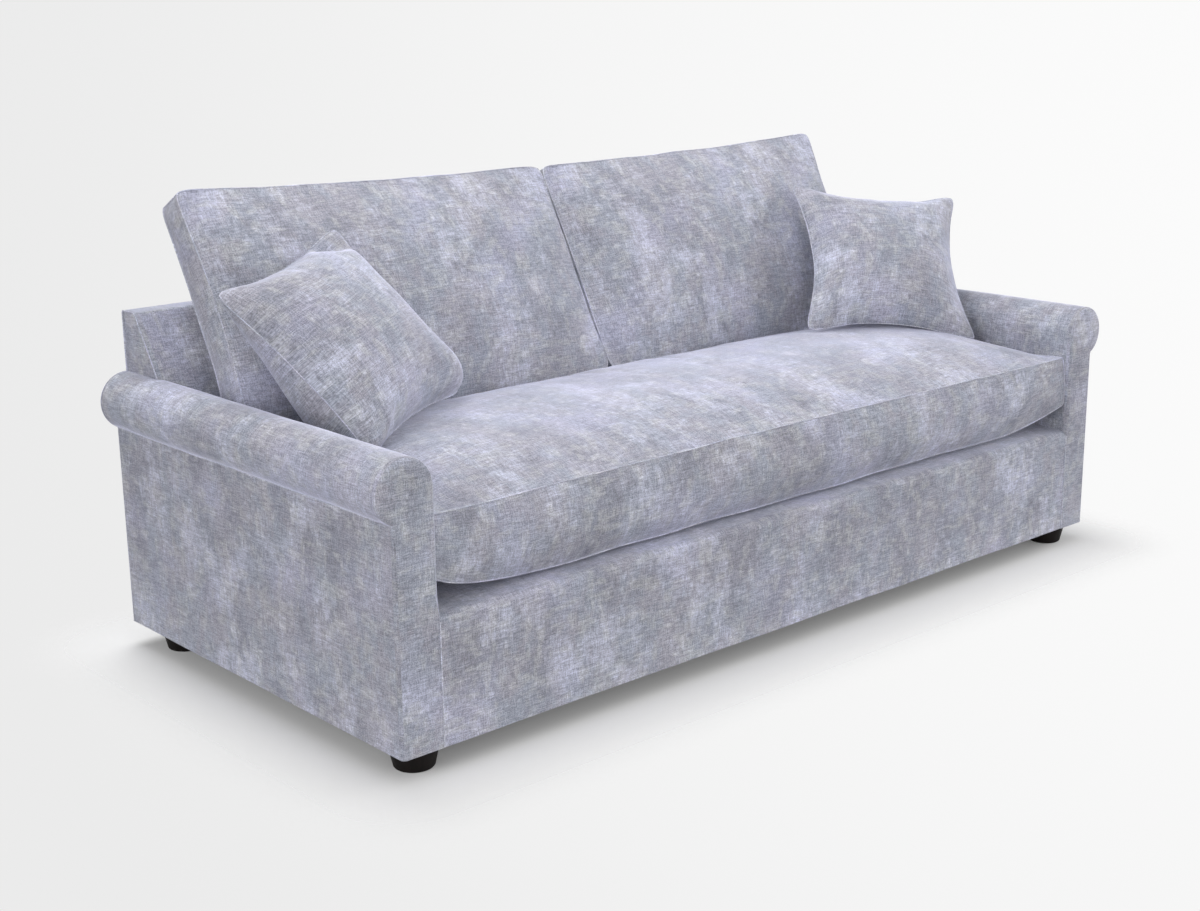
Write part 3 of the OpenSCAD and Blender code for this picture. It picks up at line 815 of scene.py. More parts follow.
@dataclass
class ArmCovers:
    """The covers of both arms: sleeve over the roll, front facing and outside panel."""

    sizes: Sizes = SOFA
    edge: float = 0.009
    edge_steps: int = 5
    steps: int = 30
    inside_steps: int = 10
    roll_steps: int = 44
    sleeve_hollow: Triple = (0.0016, 0.16, 1.0)
    outside_hollow: Triple = (0.0012, 0.22, 2.0)

    def arm_cloth(self, places: Array, normals: Array) -> Array:
        """Lays cloth up the inside of an arm and round its roll.

        Args:
            places: Place of each corner of the faces.
            normals: Normal of the face at each corner.

        Returns:
            Across and along the cloth.
        """
        size = self.sizes
        x = np.abs(places[:, 0])
        angle = np.arctan2(places[:, 2] - size.roll_z, x - size.roll_x)
        turn = np.where(angle < -math.pi / 2, -math.pi - angle, math.pi - angle)
        on_roll = (places[:, 2] > size.roll_z) | (x > size.roll_x)
        along = np.where(on_roll, size.roll_z + size.roll_r * turn, places[:, 2])
        flat = np.stack([places[:, 1], along], axis=1)
        ends = np.abs(normals[:, 1]) > 0.7
        flat[ends] = np.stack([x, places[:, 2]], axis=1)[ends]
        return flat

    def rolled(self, name: str, low: float) -> Outline:
        """Draws the inside of the right arm and its roll.

        Args:
            name: Name of the piece.
            low: Height at which the inside starts.

        Returns:
            The outline, up to the crease.
        """
        size = self.sizes
        outline = Outline(name, Layer.ALONG_Y, size.front + size.skin, (size.arm_in, low))
        outline.line((size.arm_in, size.roll_z), self.inside_steps)
        last = -size.roll_angle(size.arm_out)
        return outline.arc((size.roll_x, size.roll_z), size.roll_r, 180, last, self.roll_steps)

    def sleeve(self) -> Piece:
        """Makes the right arm's sleeve.

        Returns:
            The piece.
        """
        size = self.sizes
        piece = self.rolled("arm_sleeve_right", size.low_edge).pull(size.rear - size.panel, self.steps)
        apply_modifier(piece, "SOLIDIFY", thickness=size.cover, offset=-1.0)
        ruffle(piece, *self.sleeve_hollow)
        return dress(piece, (0.31, 0.12), self.arm_cloth)

    def facing(self) -> Piece:
        """Makes the right arm's front facing, rounded above the deck and along its outside.

        Returns:
            The piece.
        """
        size = self.sizes
        outline = self.rolled("arm_front_right", size.foot).line((size.arm_out, size.foot))
        piece = outline.close().pull(size.front)
        front, low = size.front + HAIR, size.deck - 0.001

        def rounded(a: Vector, b: Vector) -> bool:
            """Tells whether an edge of the front gets rounded."""
            return a.y < front > b.y and (min(a.z, b.z) > low or min(a.x, b.x) > size.roll_x)

        round_edges(piece, self.edge, rounded, self.edge_steps)
        return dress(piece, (1.7, 0.4), sharp=50)

    def outside(self) -> Piece:
        """Makes the right arm's outside panel.

        Returns:
            The piece.
        """
        size = self.sizes
        inner = size.arm_out - size.panel
        outline = Outline("arm_outside_right", Layer.ALONG_Y, size.front + size.skin, (inner, size.foot))
        outline.line((inner, size.crease)).line((size.arm_out, size.crease))
        outline.line((size.arm_out, size.foot), 14)
        piece = outline.close().pull(size.rear - size.panel, self.steps)
        ruffle(piece, *self.outside_hollow)
        return dress(piece, (2.9, 0.1))

    def build(self, shop: Workshop) -> None:
        """Makes and fits the covers of both arms.

        Args:
            shop: The workshop that fits them.
        """
        nodes = {"arm_sleeve": "arm_cover", "arm_front": "arm_facing", "arm_outside": "arm_outside_panel"}
        for piece, shift in ((self.sleeve(), 4.1), (self.facing(), 5.3), (self.outside(), 6.7)):
            word = piece.name.rsplit("_", 1)[0]
            other = mirrored(piece, word + "_left")
            lay_cloth(other, self.arm_cloth if word == "arm_sleeve" else box_cloth, (shift, 0.3))
            shop.fit(piece, [nodes[word] + "_right"])
            shop.fit(other, [nodes[word] + "_left"])
        # The welts below are real raised seams, in the lighter seam cloth: painted highlight along the crease
        # and the front seams.
        size, proud = self.sizes, 2 * HAIR
        depth = np.linspace(size.front + 0.004, size.rear - 0.004, 24)
        height = np.linspace(size.foot + 0.002, size.deck - size.skin, 12)
        for side in Side:
            x = side.value * (size.arm_out + proud)
            path = [(x, y, size.crease + 2 * proud * math.sin(y * 31)) for y in depth]
            shop.welt("arm_crease_seam_" + side.word, path, 0.0015)
            x = side.value * (size.arm_in - proud)
            shop.welt("arm_front_seam_" + side.word, [(x, size.front - proud, z) for z in height])


@dataclass
class BackCovers:
    """The covers of the back frame: inside back and top, two ends and the outside back."""

    sizes: Sizes = SOFA
    top_round: float = 0.009
    end_round: float = 0.004
    rear_round: float = 0.003
    hollow: Triple = (0.001, 0.2, 3.0)
    shoulder_steps: int = 28

    def slope(self, outline: Outline, steps: int) -> Outline:
        """Draws the raked front and the rounded top of the back.

        Args:
            outline: The outline, at the foot of the front.
            steps: Steps up the front.

        Returns:
            The outline, up to the rear edge of the top.
        """
        size, radius = self.sizes, self.top_round
        rake = math.radians(size.back_rake)
        low = size.back_top - radius
        centre = (size.back_face(low) + radius / math.cos(rake), low)
        outline.line((centre[0] - radius * math.cos(rake), low + radius * math.sin(rake)), steps)
        outline.arc(centre, radius, 180 - size.back_rake, 90, 5)
        return outline.line((size.rear - size.panel, size.back_top), 2)

    def inside(self) -> Piece:
        """Makes the inside back, cut round the arms.

        Returns:
            The piece.
        """
        size = self.sizes
        end = size.back_end - size.skin
        outline = Outline("inside_back", Layer.ALONG_X, -end, (size.back_face(size.low_edge), size.low_edge))
        piece = self.slope(outline, 14).pull(end, 56)
        for x in (3 * HAIR - size.arm_in, size.arm_in - 3 * HAIR):
            edit(piece, "EDGE")
            bpy.ops.mesh.select_all(action="SELECT")
            bpy.ops.mesh.bisect(plane_co=(x, 0, 0), plane_no=(1, 0, 0))
            bpy.ops.object.mode_set(mode="OBJECT")
        wide, high = size.arm_in - 0.001, size.roll_z + size.above_roll
        pick_edges(piece, lambda a, b: min(abs(a.x), abs(b.x)) > wide and max(a.z, b.z) < high)
        bpy.ops.mesh.select_mode(type="FACE")
        bpy.ops.mesh.delete(type="FACE")
        bpy.ops.object.mode_set(mode="OBJECT")
        apply_modifier(piece, "SOLIDIFY", thickness=size.cover, offset=-1.0)
        ruffle(piece, *self.hollow)
        return dress(piece, (7.7, 0.6))

    def end(self) -> Piece:
        """Makes the right end of the back.

        Returns:
            The piece.
        """
        size = self.sizes
        low = size.roll_z + size.above_roll
        outline = Outline(
            "back_end_right", Layer.ALONG_X, size.back_end - size.skin, (size.back_face(low), low),
        )
        piece = self.slope(outline, 1).line((size.rear - size.panel, low)).close().pull(size.back_end)
        outer = size.back_end - HAIR
        round_edges(piece, self.end_round, lambda a, b: a.x > outer and b.x > outer)
        return dress(piece, (8.9, 0.2), sharp=50)

    def outside(self) -> Piece:
        """Makes the outside back, with its shoulders round the rolls.

        Returns:
            The piece.
        """
        size = self.sizes
        turn, rise = size.roll_angle(size.arm_out), size.roll_angle(size.back_end)
        shoulder = size.roll_z + size.roll_r * math.sin(math.radians(rise))
        outline = Outline("outside_back", Layer.ALONG_Y, size.rear - size.panel, (size.arm_out, size.foot))
        outline.line((size.arm_out, size.crease))
        outline.arc((size.roll_x, size.roll_z), size.roll_r, -turn, rise, self.shoulder_steps)
        outline.line((size.back_end, shoulder)).line((size.back_end, size.back_top))
        outline.line((-size.back_end, size.back_top)).line((-size.back_end, shoulder))
        outline.arc((-size.roll_x, size.roll_z), size.roll_r, 180 - rise, 180 + turn, self.shoulder_steps)
        piece = outline.line((-size.arm_out, size.foot)).close().pull(size.rear)
        outer = size.rear - HAIR
        round_edges(piece, self.rear_round, lambda a, b: a.y > outer and b.y > outer)
        return dress(piece, (10.1, 0.5), sharp=50)

    def build(self, shop: Workshop) -> None:
        """Makes and fits the covers of the back.

        Args:
            shop: The workshop that fits them.
        """
        size = self.sizes
        shop.fit(self.inside(), ["back_cover"])
        right = self.end()
        left = mirrored(right, "back_end_left")
        shop.fit(right, ["back_end_facing_right"])
        shop.fit(left, ["back_end_facing_left"])
        shop.fit(self.outside(), ["outside_back_panel"])
        # The welts below are real raised seams, in the lighter seam cloth: painted highlight along the back
        # ends' seams.
        low, top = size.roll_z + 0.06, size.back_top
        for side in Side:
            x = side.value * size.back_end
            path = [(x, size.back_face(z), z) for z in np.linspace(low, top - 0.006, 8)]
            path += [(x, y, top) for y in np.linspace(path[-1][1] + 0.008, size.rear - 0.004, 5)]
            shop.welt("back_end_seam_" + side.word, path + [(x, size.rear, top - 0.004), (x, size.rear, low)])


@dataclass
class SeatCovers:
    """The cover of the front rail, with its padded lip, and the platform behind it."""

    sizes: Sizes = SOFA
    lip_round: float = 0.016
    lip: float = 0.07
    hollow: Triple = (0.0014, 0.2, 4.0)

    def rail_cloth(self, places: Array, normals: Array) -> Array:
        """Lays cloth up the front rail and on over its lip."""
        over = places[:, 2] > self.sizes.deck - self.lip_round
        return np.stack([places[:, 0], places[:, 2] + over * (places[:, 1] - self.sizes.front)], axis=1)

    def rail(self) -> Piece:
        """Makes the cover of the front rail.

        Returns:
            The piece.
        """
        size = self.sizes
        end, low = size.arm_in - 4 * HAIR, size.foot + 5 * HAIR
        outline = Outline("front_border", Layer.ALONG_X, -end, (size.front + size.skin, low))
        outline.line((size.front, low)).line((size.front, size.deck - self.lip_round), 10)
        centre = (size.front + self.lip_round, size.deck - self.lip_round)
        outline.arc(centre, self.lip_round, 180, 90, 8).line((size.front + self.lip, size.deck), 3)
        piece = outline.pull(end, 60)
        apply_modifier(piece, "SOLIDIFY", thickness=size.cover, offset=-1.0)
        ruffle(piece, *self.hollow)
        return dress(piece, (11.3, 0.1), self.rail_cloth)

    def platform(self) -> Piece:
        """Makes the platform cloth over the deck.

        Returns:
            The piece.
        """
        low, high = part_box("deck")
        front, top = low[1] + 3 * HAIR, self.sizes.deck
        outline = Outline("seat_platform", Layer.ALONG_X, low[0], (front, low[2]))
        outline.line((front, top)).line((high[1] - 0.002, top), 10).line((high[1] - 0.009, low[2] + 0.004))
        return dress(outline.close().pull(high[0], 30), (12.9, 0.9))

    def build(self, shop: Workshop) -> None:
        """Makes and fits the covers of the seat frame."""
        shop.fit(self.rail(), ["front_cover"])
        shop.fit(self.platform(), ["deck"])


def fullness(u: Array, v: Array, across: float, along: float) -> Array:
    """Gives how full a panel is, from 1 in its middle to 0 along its seams."""
    return (1 - np.abs(u) ** across) * (1 - np.abs(v) ** along)


Form = Callable[[Array, Array, float], Array]


@dataclass
class CushionMesh:
    """A cushion's mesh: front and rear panels on equal grids, and the border, if any, between their rims.

    The form gives points at u across and v along, both from -1 to 1, and at share t of the way from the
    front panel to the rear panel.
    """

    name: str
    cells: tuple[int, int, int]
    form: Form
    cut: Spot
    depth: float = 0.0
    crowd: float = 0.25
    rear_at: Spot = (3.0, 1.0)
    border_at: Spot = (1.5, 0.4)

    def build(self) -> Piece:
        """Makes the mesh, with its cloth map and its seams marked, and its points closest near the seams.

        Returns:
            The new piece.
        """
        across, along, rows = self.cells
        lines = (np.linspace(-1, 1, count + 1) for count in (across, along))
        shares = np.meshgrid(*(line * (1 + self.crowd * (1 - line**2)) for line in lines), indexing="ij")
        u, v = (share.ravel() for share in shares)
        count = len(u)
        grid = np.arange(count).reshape(across + 1, along + 1)
        rim = np.concatenate([grid[:-1, 0], grid[-1, :-1], grid[:0:-1, -1], grid[0, :0:-1]])
        points, rings = [self.form(u, v, 0.0)], [rim]
        for row in range(1, rows):
            rings.append(count + len(rim) * (row - 1) + np.arange(len(rim)))
            points.append(self.form(u[rim], v[rim], row / rows))
        start = sum(len(part) for part in points)
        own = np.arange(count) if rows else np.setdiff1d(grid, rim)
        behind = grid.ravel().copy()
        behind[own] = start + np.arange(len(own))
        points.append(self.form(u[own], v[own], 1.0))
        if rows:
            rings.append(behind[rim])
        cell = grid[:-1, :-1].ravel()
        quads = np.stack([cell, cell + along + 1, cell + along + 2, cell + 1], axis=1)
        flat = np.stack([u * self.cut[0] / 2, v * self.cut[1] / 2], axis=1)
        faces = [quads, behind[quads[:, ::-1]]]
        maps = [flat[quads], flat[quads[:, ::-1]] + self.rear_at]
        steps = np.linalg.norm(np.diff(flat[np.append(rim, rim[0])], axis=0), axis=1)
        place = np.concatenate([[0], np.cumsum(steps)])
        run = np.stack([place[:-1], place[:-1], place[1:], place[1:]], axis=1)
        for row, (upper, lower) in enumerate(zip(rings[:-1], rings[1:])):
            faces.append(np.stack([upper, lower, np.roll(lower, -1), np.roll(upper, -1)], axis=1))
            drop = -self.depth * (row + np.array([0, 1, 1, 0])) / rows
            maps.append(np.stack([run, np.broadcast_to(drop, run.shape)], axis=2) + self.border_at)
        mesh = bpy.data.meshes.new(self.name)
        mesh.from_pydata(np.concatenate(points).tolist(), [], np.concatenate(faces).tolist())
        layer = mesh.uv_layers.new(name=CLOTH_MAP)
        layer.data.foreach_set("uv", np.concatenate(maps).astype(np.float32).ravel())
        piece = bpy.data.objects.new(self.name, mesh)
        bpy.context.collection.objects.link(piece)
        self.mark_seams(piece, rings)
        return piece

    def mark_seams(self, piece: Piece, rings: list[Array]) -> None:
        """Marks the two rims and the upright corners of the border as seams.

        Args:
            piece: The new piece.
            rings: Points of each ring from the front rim to the rear rim.
        """
        across, along, _ = self.cells
        lines = [pair for rim in (rings[0], rings[-1]) for pair in zip(rim, np.roll(rim, -1))]
        for corner in (0, across, across + along, 2 * across + along):
            lines += [(upper[corner], lower[corner]) for upper, lower in zip(rings[:-1], rings[1:])]
        pairs = {frozenset((int(a), int(b))) for a, b in lines}
        crease = piece.data.attributes.new("crease_edge", "FLOAT", "EDGE")
        for edge in piece.data.edges:
            if frozenset(edge.vertices) in pairs:
                edge.use_seam = True
                crease.data[edge.index].value = 0.8
        group = piece.vertex_groups.new(name=SEWN)
        group.add(sorted({index for pair in pairs for index in pair}), 1.0, "REPLACE")


@dataclass(frozen=True)
class Filling:
    """How a cushion is filled, and what its filling and its sewing do to its surface.

    The hollow is the height, the distance and the seed of the surface's unevenness.
    """

    pressure: float
    cap: float
    slack: float
    hollow: Triple
    fill: float
    welt: float = 0.0014
    frames: int = 20

    def inflate(self, piece: Piece) -> None:
        """Fills a sewn cushion by a cloth simulation that holds its seams and caps how far a point moves.

        Args:
            piece: The cushion, whose group of sewn points stays in place.
        """
        take(piece)
        before = read(piece.data.vertices, "co", 3)
        modifier = piece.modifiers.new("filling", "CLOTH")
        settings = {
            "quality": 6, "mass": 0.4,
            "tension_stiffness": 20, "compression_stiffness": 20, "shear_stiffness": 8,
            "bending_stiffness": 1.5, "use_pressure": True, "uniform_pressure_force": self.pressure,
            "vertex_group_mass": SEWN, "pin_stiffness": 1.0, "shrink_min": -self.slack,
        }
        for key, value in settings.items():
            setattr(modifier.settings, key, value)
        modifier.settings.effector_weights.gravity = 0.0
        modifier.collision_settings.use_collision = False
        modifier.point_cache.frame_start = 1
        modifier.point_cache.frame_end = self.frames
        scene = bpy.context.scene
        for frame in range(1, self.frames + 1):
            scene.frame_set(frame)
        blown = piece.evaluated_get(bpy.context.evaluated_depsgraph_get())
        move = read(blown.data.vertices, "co", 3) - before
        piece.modifiers.remove(modifier)
        scene.frame_set(1)
        length = np.linalg.norm(move, axis=1, keepdims=True)
        move *= self.cap * np.tanh(length / self.cap) / np.maximum(length, 1e-9)
        piece.data.vertices.foreach_set("co", (before + move).ravel())
        piece.data.update()

    def finish(self, piece: Piece, shop: Workshop, nodes: Sequence[str]) -> None:
        """Fills and smooths a cushion, draws its seams and fits both on the body of its name.

        Args:
            piece: The cushion's mesh.
            shop: The workshop that dresses it.
            nodes: Nodes of the frame that it stands for.
        """
        self.inflate(piece)
        ruffle(piece, *self.hollow)
        apply_modifier(piece, "SUBSURF", levels=1, render_levels=1, uv_smooth="NONE")
        take(piece)
        bpy.ops.object.shade_smooth()
        bpy.ops.object.duplicate()
        seams = bpy.context.object
        seams.name = seams.data.name = piece.name + "_seams"
        edit(seams, "EDGE")
        mesh = bmesh.from_edit_mesh(seams.data)
        bmesh.ops.delete(mesh, geom=[edge for edge in mesh.edges if not edge.seam], context="EDGES")
        bmesh.update_edit_mesh(seams.data)
        bpy.ops.object.mode_set(mode="OBJECT")
        bpy.ops.object.convert(target="CURVE")
        bpy.context.object.data.bevel_depth = self.welt
        bpy.context.object.data.bevel_resolution = 2
        bpy.ops.object.convert(target="MESH")
        seams = bpy.context.object
        bpy.ops.object.shade_smooth()
        lay_cloth(seams, welt_cloth)
        body = piece.name
        shop.fit(piece, nodes, body)
        # The seams are real piping in the lighter seam cloth: painted highlight along the cushion's seams.
        shop.fit(seams, body=body, seam=True)


@dataclass
class SeatCushion:
    """The bench cushion, crowned along its middle, with its ends lifted off the deck."""

    sizes: Sizes = SOFA
    half: float = 0.9575
    seam: float = 0.475
    crown: float = 0.058
    full: Spot = (10.0, 2.9)
    corner: float = 0.004
    front: float = 0.021
    front_draw: float = 0.019
    low_front: float = 0.012
    swell: float = 0.031
    end_flat: float = 0.88
    side_swell: float = 0.0018
    above_deck: float = 0.0008
    off_back: float = 0.002
    tuck: float = 0.043
    rear: float = 0.702
    side_draw: float = 0.006
    lift: float = 0.056
    edge_lift: float = 0.008
    filling: Filling = Filling(2.0, 0.006, 0.004, (0.0035, 0.13, 11.0), 0.8)

    def ends(self, u: Array) -> tuple[Array, Array]:
        """Gives how far back the front and the rear seam lie at u."""
        return self.front + self.front_draw * (1 - u**2), self.rear - self.side_draw * (1 - u**2)

    def height(self, x: Array, y: Array) -> Array:
        """Gives the height of the top panel at places of the sofa.

        Args:
            x: Places from left to right.
            y: Places from front to rear.

        Returns:
            The heights.
        """
        u = np.clip(x / self.half, -1, 1)
        front, rear = self.ends(u)
        v = np.clip((2 * (y - self.sizes.front) - front - rear) / (rear - front), -1, 1)
        return self.seam + self.crown * fullness(u, v, *self.full)

    def points(self, u: Array, v: Array, t: float) -> Array:
        """Gives points of the cushion.

        Args:
            u: Shares across.
            v: Shares along.
            t: Share of the way down, 0 on the top panel and 1 on the underside.

        Returns:
            The points, swollen along the front, tucked in below it and cut by the slope of the back.
        """
        size, (front, rear) = self.sizes, self.ends(u)
        x = (self.half - self.side_draw * (1 - v**2)) * u
        y = (front * (1 - v) + rear * (1 + v)) / 2 + size.front
        z = self.seam + self.crown * fullness(u, v, *self.full) + self.corner * np.abs(u * v) ** 8
        top = np.stack([x, y, z], axis=1)
        y = y + (self.low_front + self.tuck * (1 - np.abs(u) ** 8) - front) * (1 - v) / 2
        z = size.deck + self.above_deck + self.lift * np.abs(u) ** 10 + self.edge_lift * np.abs(v) ** 8
        low = np.stack([x, np.minimum(y, size.back_face(z) - self.off_back), z], axis=1)
        points, bulge = (1 - t) * top + t * low, 4 * t * (1 - t)
        points[:, 0] += np.where(np.abs(u) == 1, np.sign(u) * self.side_swell, 0) * bulge
        points[:, 1] -= np.where(v == -1, self.swell * (1 - self.end_flat * np.abs(u) ** 6), 0) * bulge
        return points

    def build(self, shop: Workshop) -> None:
        """Makes and fits the seat cushion."""
        form = CushionMesh("seat_cushion", (136, 50, 12), self.points, (1.915, 0.70), 0.17)
        self.filling.finish(form.build(), shop, ["seat_cushion_cover", "seat_cushion_core"])


@dataclass
class BackCushion:
    """One of the two back cushions, which leans on the inside back and stands on the seat."""

    side: Side
    seat: SeatCushion
    foot: Spot = (0.106, 0.5065)
    lean: float = math.radians(28.3)
    half: float = 0.4775
    inner: float = 0.517
    outer: float = 0.538
    thick: float = 0.086
    top_thin: float = 0.012
    crown: float = 0.052
    full: Spot = (3.4, 3.0)
    behind: float = 0.098
    behind_full: Spot = (4.0, 3.4)
    swell: float = 0.006
    dip: float = 0.010
    draw: float = 0.014
    inner_draw: float = 0.003
    side_pinch: Spot = (0.016, 26.0)
    top_pinch: Spot = (0.028, 40.0)
    gap: float = 0.001
    above_seat: float = 0.0015

    def place(self, u: Array, v: Array, n: Array) -> Array:
        """Places points of the cushion, none of them lower than the seat cushion.

        Args:
            u: Shares across.
            v: Shares along.
            n: Distance in front of the front seam.

        Returns:
            The points.
        """
        (side, side_power), (top, top_power) = self.side_pinch, self.top_pinch
        u, v = u * (1 - side * np.abs(v) ** side_power), v * (1 - top * np.abs(u) ** top_power)
        out = u * self.side.value
        draw = np.where(out > 0, self.draw, self.inner_draw)
        x = self.side.value * (self.gap + self.half) + u * (self.half - draw * (1 - v**2))
        tall = self.inner + (self.outer - self.inner) * (out + 1) / 2 - self.dip * (1 - u**2)
        s = (v + 1) / 2 * tall
        y = self.foot[0] + s * math.sin(self.lean) - n * math.cos(self.lean)
        z = self.foot[1] + s * math.cos(self.lean) + n * math.sin(self.lean)
        return np.stack([x, y, np.maximum(z, self.seat.height(x, y) + self.above_seat)], axis=1)

    def points(self, u: Array, v: Array, t: float) -> Array:
        """Gives points of the cushion.

        Args:
            u: Shares across.
            v: Shares along.
            t: Share of the way back, 0 on the front panel and 1 on the rear panel.

        Returns:
            The points, swollen at the sides and along the top.
        """
        thick = self.thick - self.top_thin * np.clip(v, 0, 1)
        front = self.place(u, v, self.crown * fullness(u, v, *self.full))
        rear = self.place(u, v, -thick - self.behind * fullness(u, v, *self.behind_full))
        points, bulge = (1 - t) * front + t * rear, self.swell * 4 * t * (1 - t)
        points[:, 0] += np.where(np.abs(u) == 1, np.sign(u) * (1 - v**2), 0) * bulge
        rise = np.where(v == 1, 1 - u**2, 0) * bulge
        return points + np.outer(rise, (0, math.sin(self.lean), math.cos(self.lean)))

    def press(self, points: Array, gap: Array) -> Array:
        """Pushes points forward that lie inside the front of the cushion.

        Args:
            points: Points of what leans on the cushion.
            gap: Distance that they keep from its front.

        Returns:
            The points, moved where they had to be.
        """
        ahead = np.array([0, -math.cos(self.lean), math.sin(self.lean)])
        from_foot = points - (0, *self.foot)
        s = from_foot @ (0, math.sin(self.lean), math.cos(self.lean))
        u = (points[:, 0] - self.side.value * self.half) / self.half
        v = 2 * s / ((self.inner + self.outer) / 2) - 1
        level = self.crown * fullness(np.clip(u, -1, 1), np.clip(v, -1, 1), *self.full)
        short = np.where((np.abs(u) < 1) & (np.abs(v) < 1), level + gap - from_foot @ ahead, 0)
        return points + np.outer(np.clip(short, 0, None), ahead)

    def build(self, shop: Workshop) -> None:
        """Makes and fits the cushion.

        Args:
            shop: The workshop that fits it.
        """
        word = self.side.word
        form = CushionMesh("back_cushion_" + word, (72, 42, 8), self.points, (0.957, 0.54), self.thick)
        filling = Filling(2.0, 0.007, 0.006, (0.004, 0.12, 20.0 + self.side.value), 0.75)
        filling.finish(form.build(), shop, ["back_cushion_cover_" + word, "back_cushion_pad_" + word])


@dataclass
class ScatterCushion:
    """A square cushion with a knife edge, which leans in a corner of the sofa.

    Turn, lean and tilt are in degrees.  The flap is the size of the empty corner at the cushion's inner top,
    plump how much fuller its lower corner is, foot how far its outer low corner moves, and nip how far its
    inner low corner is drawn in.  The skins are how far the front, the rear and the seam stay off what
    carries them.
    """

    side: Side
    seat: SeatCushion
    back: BackCushion
    centre: Triple
    turn: float
    lean: float
    tilt: float
    size: float = 0.446
    full: float = 0.098
    behind: float = 0.095
    draw: float = 0.11
    corner: float = 0.042
    flap: Spot = (0.17, 0.17)
    flap_edge: Spot = (0.7, 0.6)
    flap_full: float = 0.10
    plump: float = 0.0
    swell: float = 0.44
    rear_swell: float = 0.52
    skins: Triple = (0.009, 0.002, 0.005)
    foot: Triple = (0.0, 0.0, 0.0)
    nip: float = 0.0

    def frame(self) -> list[Array]:
        """Works out how the cushion is turned.

        Returns:
            Its own right, up and front directions.
        """
        turn, lean, tilt = (math.radians(value) for value in (self.turn, self.lean, self.tilt))
        normal = Vector((-math.sin(turn) * math.cos(lean), -math.cos(turn) * math.cos(lean), math.sin(lean)))
        right = Vector((0, 0, 1)).cross(normal).normalized()
        up = normal.cross(right)
        across = right * math.cos(tilt) + up * math.sin(tilt)
        return [np.array(axis) for axis in (across, up * math.cos(tilt) - right * math.sin(tilt), normal)]

    def depth(self, u: Array, v: Array, rear: bool) -> Array:
        """Gives how far a panel stands off the plane of the seam.

        Args:
            u: Shares across.
            v: Shares along.
            rear: Whether it is the rear panel.

        Returns:
            The distances, towards the front.
        """
        side = self.side.value
        full, power = (-self.behind, self.rear_swell) if rear else (self.full, self.swell)
        reach = np.hypot((u + side) / self.flap[0], (v - 1) / self.flap[1])
        rise = np.clip((reach - self.flap_edge[0]) / self.flap_edge[1], 0, 1)
        flap = self.flap_full + (1 - self.flap_full) * rise**2 * (3 - 2 * rise)
        far = np.hypot(u - side, v + 0.9) / 0.75 if rear else np.hypot(u + side, v + 1) / 0.45
        return full * fullness(u, v, 2, 2) ** power * flap * (1 + self.plump * np.exp(-(far**2)))

    def points(self, u: Array, v: Array, t: float) -> Array:
        """Gives points of the cushion, which rests on the back cushion, the seat cushion and the arm.

        Args:
            u: Shares across.
            v: Shares along.
            t: 0 on the front panel and 1 on the rear panel.

        Returns:
            The points.
        """
        half, side, size, rear = self.size / 2, self.side.value, self.seat.sizes, t == 1
        nip = self.nip * ((1 - side * u) * (1 - v) / 4) ** 4
        foot = ((1 + side * u) * (1 - v) / 4) ** 1.5
        x = half * u * (1 - self.draw * (1 - v**2) - self.corner * np.abs(v) ** 18) + nip * side
        z = half * v * (1 - self.draw * (1 - u**2) - self.corner * np.abs(u) ** 18) + nip
        points = np.stack([x, z, self.depth(u, v, rear)], axis=1) @ self.frame()
        points += self.centre + np.outer(foot, self.foot)
        skin = np.where(fullness(u, v, 2, 2) > 0, self.skins[rear], self.skins[2])
        points = self.back.press(points, skin)
        x, y, z = points.T
        out = np.abs(x) - size.roll_x
        roll = size.roll_z + np.sqrt(np.clip(size.roll_r**2 - out**2, 0, None))
        floor = np.maximum(self.seat.height(x, y), np.where(np.abs(out) < size.roll_r, roll, 0))
        return np.stack([x, y, np.maximum(z, floor + skin)], axis=1)

    def build(self, shop: Workshop) -> None:
        """Makes and fits the cushion.

        Args:
            shop: The workshop that fits it.
        """
        word = self.side.word
        form = CushionMesh("scatter_cushion_" + word, (40, 40, 0), self.points, (0.44, 0.44))
        filling = Filling(3.0, 0.008, 0.01, (0.003, 0.09, 30.0 + self.side.value), 0.7, WELT)
        filling.finish(form.build(), shop, ["scatter_cushion_cover_" + word, "scatter_cushion_pad_" + word])


@dataclass(frozen=True)
class Lamp:
    """A square lamp that faces the middle of the sofa."""

    name: str
    at: Triple
    size: float
    power: float

    def build(self) -> None:
        """Hangs the lamp, out of the camera's sight."""
        data = bpy.data.lights.new(self.name, "AREA")
        data.size = self.size
        data.energy = self.power
        lamp = bpy.data.objects.new(self.name, data)
        lamp.location = self.at
        lamp.visible_camera = False
        lamp.rotation_euler = (Vector((0, 0, 0.4)) - Vector(self.at)).to_track_quat("-Z", "Y").to_euler()
        bpy.context.collection.objects.link(lamp)


